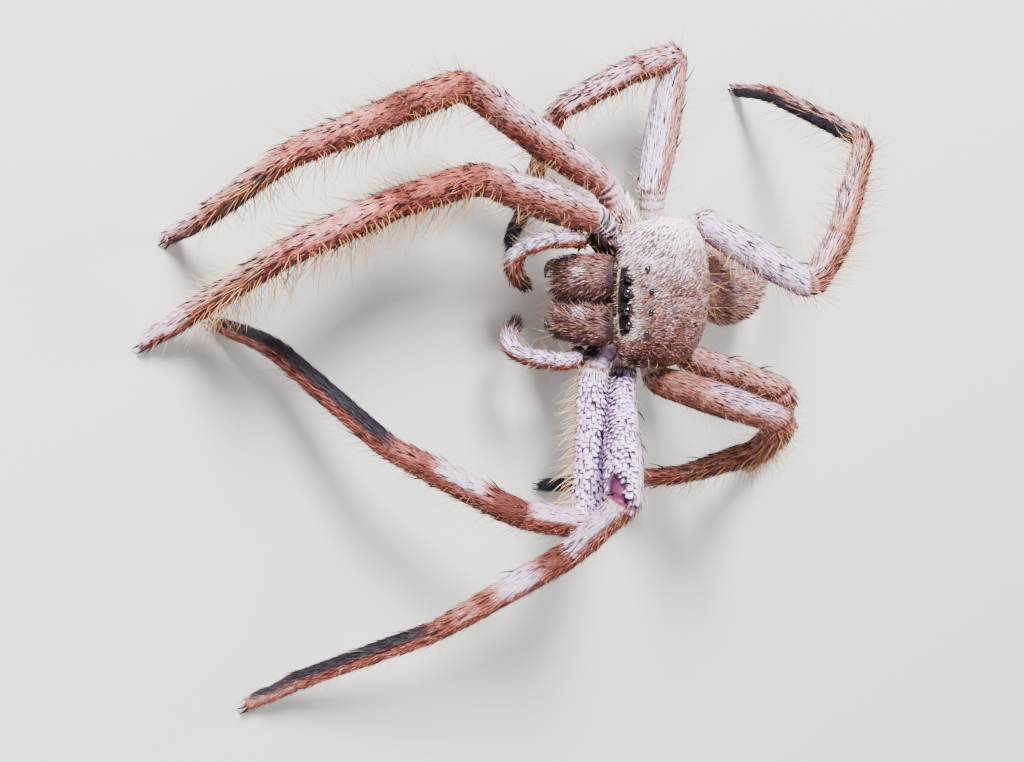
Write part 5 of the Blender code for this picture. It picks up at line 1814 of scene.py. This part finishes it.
@dataclass
class Spider:
    """The whole spider: skins, hard parts and coat."""

    pieces: list[bpy.types.Object] = field(default_factory=list)

    def keep(self, item: bpy.types.Object, slot: str, nodes: Iterable[str] = ()) -> bpy.types.Object:
        """Hand a finished piece over to the frame.

        Args:
            item: The piece.
            slot: Material slot of the record; not used.
            nodes: Solids that the piece stands for.

        Returns:
            The piece.
        """
        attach(item, "root")
        if nodes:
            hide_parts(*nodes)
        self.pieces.append(item)
        log.info("%s: %d faces", item.name, len(item.data.polygons))
        return item

    def build(self) -> None:
        """Build everything in order."""
        hide = HideFinish("hide").make()
        grower = CoatGrower()
        carapace = Carapace().surface()
        abdomen = joined([Abdomen().surface(), *Abdomen().spinnerets()])
        under = joined([Sternum().surface(), *Sternum().lobes()])
        self.keep(carapace.build("skin_carapace", hide), "fur", ["carapace"])
        self.keep(abdomen.build("skin_abdomen", hide), "fur", ["abdomen"])
        self.keep(under.build("skin_sternum", hide), "fur", ["sternum"])
        jaws, palps = [], []
        for side in Side:
            jaws.append(Jaw(side).surface())
            palps.append(Palp(side).surface())
            letter = side.letter
            self.keep(jaws[-1].build(f"skin_jaw_{letter}", hide), "jaw", [f"chelicera_{letter}"])
            self.keep(palps[-1].build(f"skin_palp_{letter}", hide), "leg",
                      [f"palp_{letter}_femur", f"palp_{letter}_tarsus"])
        skins = {}
        for leg in LEGS:
            skins[leg.name] = leg.surface()
            nodes = [f"leg_{leg.name}_{part}" for part in ("coxa", "femur", "tibia", "metatarsus", "tarsus")]
            self.keep(skins[leg.name].build(f"skin_leg_{leg.name}", hide), "leg", nodes)
        self.hard_parts()
        body_layers = (DOWN_SHORT, DASH_SHORT, SETA, TUFT)
        leg_layers = (DOWN, DASH, SETA, SOLE, SCALE, TUFT)
        groups = (
            ("legs_right", joined([skins[n] for n in ("R1", "R2", "R3", "R4")]), leg_layers),
            ("legs_left", joined([skins[n] for n in ("L1", "L2", "L3", "L4")]), leg_layers),
            ("head", joined([carapace, *jaws, *palps]), body_layers),
            ("belly", joined([abdomen, under]), body_layers),
        )
        for label, skin, layers in groups:
            for layer in layers:
                coat = grower.grow(f"coat_{layer.cover.value}_{label}", skin, layer)
                if coat:
                    self.keep(coat, "leg" if label.startswith("legs") else "fur")

    def hard_parts(self) -> None:
        """Eyes, fangs, claws and spines."""
        eye = GlossFinish("eye_gloss", (10, 8, 9), 0.05, 0.6).make()
        horn = GlossFinish("horn", (26, 14, 12), 0.30, 0.15).make()
        eyes = []
        for x, y, radius in EYE_PLACES.values():
            share, rise = (0.98, 0.30) if y < -6.0 else (0.74, 0.16)
            for side in (1.0, -1.0):
                point, normal = dome_point(x, y)
                point, normal = point.copy(), normal.copy()
                point[0] *= side
                normal[0] *= side
                eyes.append(ball(tilt(point + normal * radius * rise)[0], radius * share))
        names = [f"eye_{key}_{letter}" for key in EYE_PLACES for letter in "LR"]
        self.keep(joined(eyes).build("eyes", eye), "eye", names)
        fangs = [Jaw(side).fang() for side in Side]
        self.keep(joined(fangs).build("fangs", horn), "fang", ["fang_L", "fang_R"])
        claws = [claw for leg in LEGS for claw in leg.claws()]
        self.keep(joined(claws).build("claws", horn), "fang")
        spines = [spine for leg in LEGS for spine in leg.spine_surface()]
        self.keep(joined(spines).build("spines", horn), "fang")


def ball(centre: Array, radius: float, sides: int = 28) -> Surface:
    """Round ball.

    Args:
        centre: Its middle.
        radius: Its radius.
        sides: Points round it.

    Returns:
        The ball as a surface.
    """
    t = np.linspace(-math.pi / 2, math.pi / 2, 18)[1:-1]
    angle = np.linspace(0.0, 2 * math.pi, sides, endpoint=False)
    x = np.cos(t)[:, None] * np.cos(angle)[None, :]
    y = np.cos(t)[:, None] * np.sin(angle)[None, :]
    z = np.repeat(np.sin(t)[:, None], sides, axis=1)
    rings = centre + radius * np.stack((x, y, z), axis=2)
    low, high = centre - np.array((0, 0, radius)), centre + np.array((0, 0, radius))
    return plain_marks(ring_surface(rings, low, high, (t + math.pi / 2) / math.pi))


@dataclass(frozen=True)
class Studio:
    """Pale floor, soft lights and the camera at the photo's angle."""

    eye: tuple[float, float, float] = (-16.475, -85.581, 98.766)
    right: tuple[float, float, float] = (0.00745, 0.79441, 0.60734)
    up: tuple[float, float, float] = (-0.97972, 0.12740, -0.15462)
    back: tuple[float, float, float] = (-0.20021, -0.59387, 0.77925)
    focal_pixels: float = 1282.1
    picture_width: float = 1024.0

    def camera(self) -> None:
        """Place the camera."""
        lens = bpy.data.cameras.new("camera")
        lens.sensor_width = 36.0
        lens.lens = 36.0 * self.focal_pixels / self.picture_width
        lens.clip_start, lens.clip_end = 0.005, 20.0
        made = bpy.data.objects.new("camera", lens)
        place = to_row(np.array(self.eye))
        r, u, b = self.right, self.up, self.back
        made.matrix_world = Matrix((
            (r[0], u[0], b[0], place[0]), (r[1], u[1], b[1], place[1]),
            (r[2], u[2], b[2], place[2]), (0.0, 0.0, 0.0, 1.0)))
        bpy.context.scene.collection.objects.link(made)
        bpy.context.scene.camera = made

    def light(self, name: str, way: tuple[float, float, float], power: float, size: float,
              color: tuple[float, float, float]) -> None:
        """Add one soft light.

        Args:
            name: Name of the light.
            way: Direction from the spider to the light.
            power: Power in watts.
            size: Width of the light in metres.
            color: Colour of the light.
        """
        data = bpy.data.lights.new(name, "AREA")
        data.energy, data.size, data.color = power, size, color
        made = bpy.data.objects.new(name, data)
        way_out = Vector(way).normalized()
        made.location = way_out * 0.55
        made.rotation_mode = "QUATERNION"
        made.rotation_quaternion = way_out.to_track_quat("Z", "Y")
        bpy.context.scene.collection.objects.link(made)

    def build(self) -> None:
        """Set up floor, lights, world and camera."""
        sheet = Paint("floor_paint")
        sheet.shader.inputs["Base Color"].default_value = linear(204, 203, 200)
        sheet.shader.inputs["Roughness"].default_value = 0.8
        mesh = bpy.data.meshes.new("floor")
        mesh.from_pydata([(-3, -3, 0), (3, -3, 0), (3, 3, 0), (-3, 3, 0)], [], [(0, 1, 2, 3)])
        mesh.materials.append(sheet.material)
        floor = bpy.data.objects.new("floor", mesh)
        bpy.context.scene.collection.objects.link(floor)
        world = bpy.data.worlds.new("studio")
        world.use_nodes = True
        world.node_tree.nodes["Background"].inputs[0].default_value = (0.86, 0.89, 0.95, 1.0)
        world.node_tree.nodes["Background"].inputs[1].default_value = 0.34
        bpy.context.scene.world = world
        self.light("key", (-0.85, -0.25, 0.70), 17.0, 0.18, (1.0, 0.98, 0.98))
        self.light("fill", (0.85, -0.55, 0.45), 1.8, 0.45, (1.0, 0.93, 0.88))
        self.light("rim", (-0.2, 0.95, 0.55), 3.2, 0.35, (0.96, 0.97, 1.0))
        self.camera()


def main() -> None:
    """Build the spider and its studio, and note the sizes."""
    logging.basicConfig(level=logging.INFO, format="%(name)s %(message)s")
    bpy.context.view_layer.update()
    Spider().build()
    Studio().build()


if __name__ == "__main__":
    main()
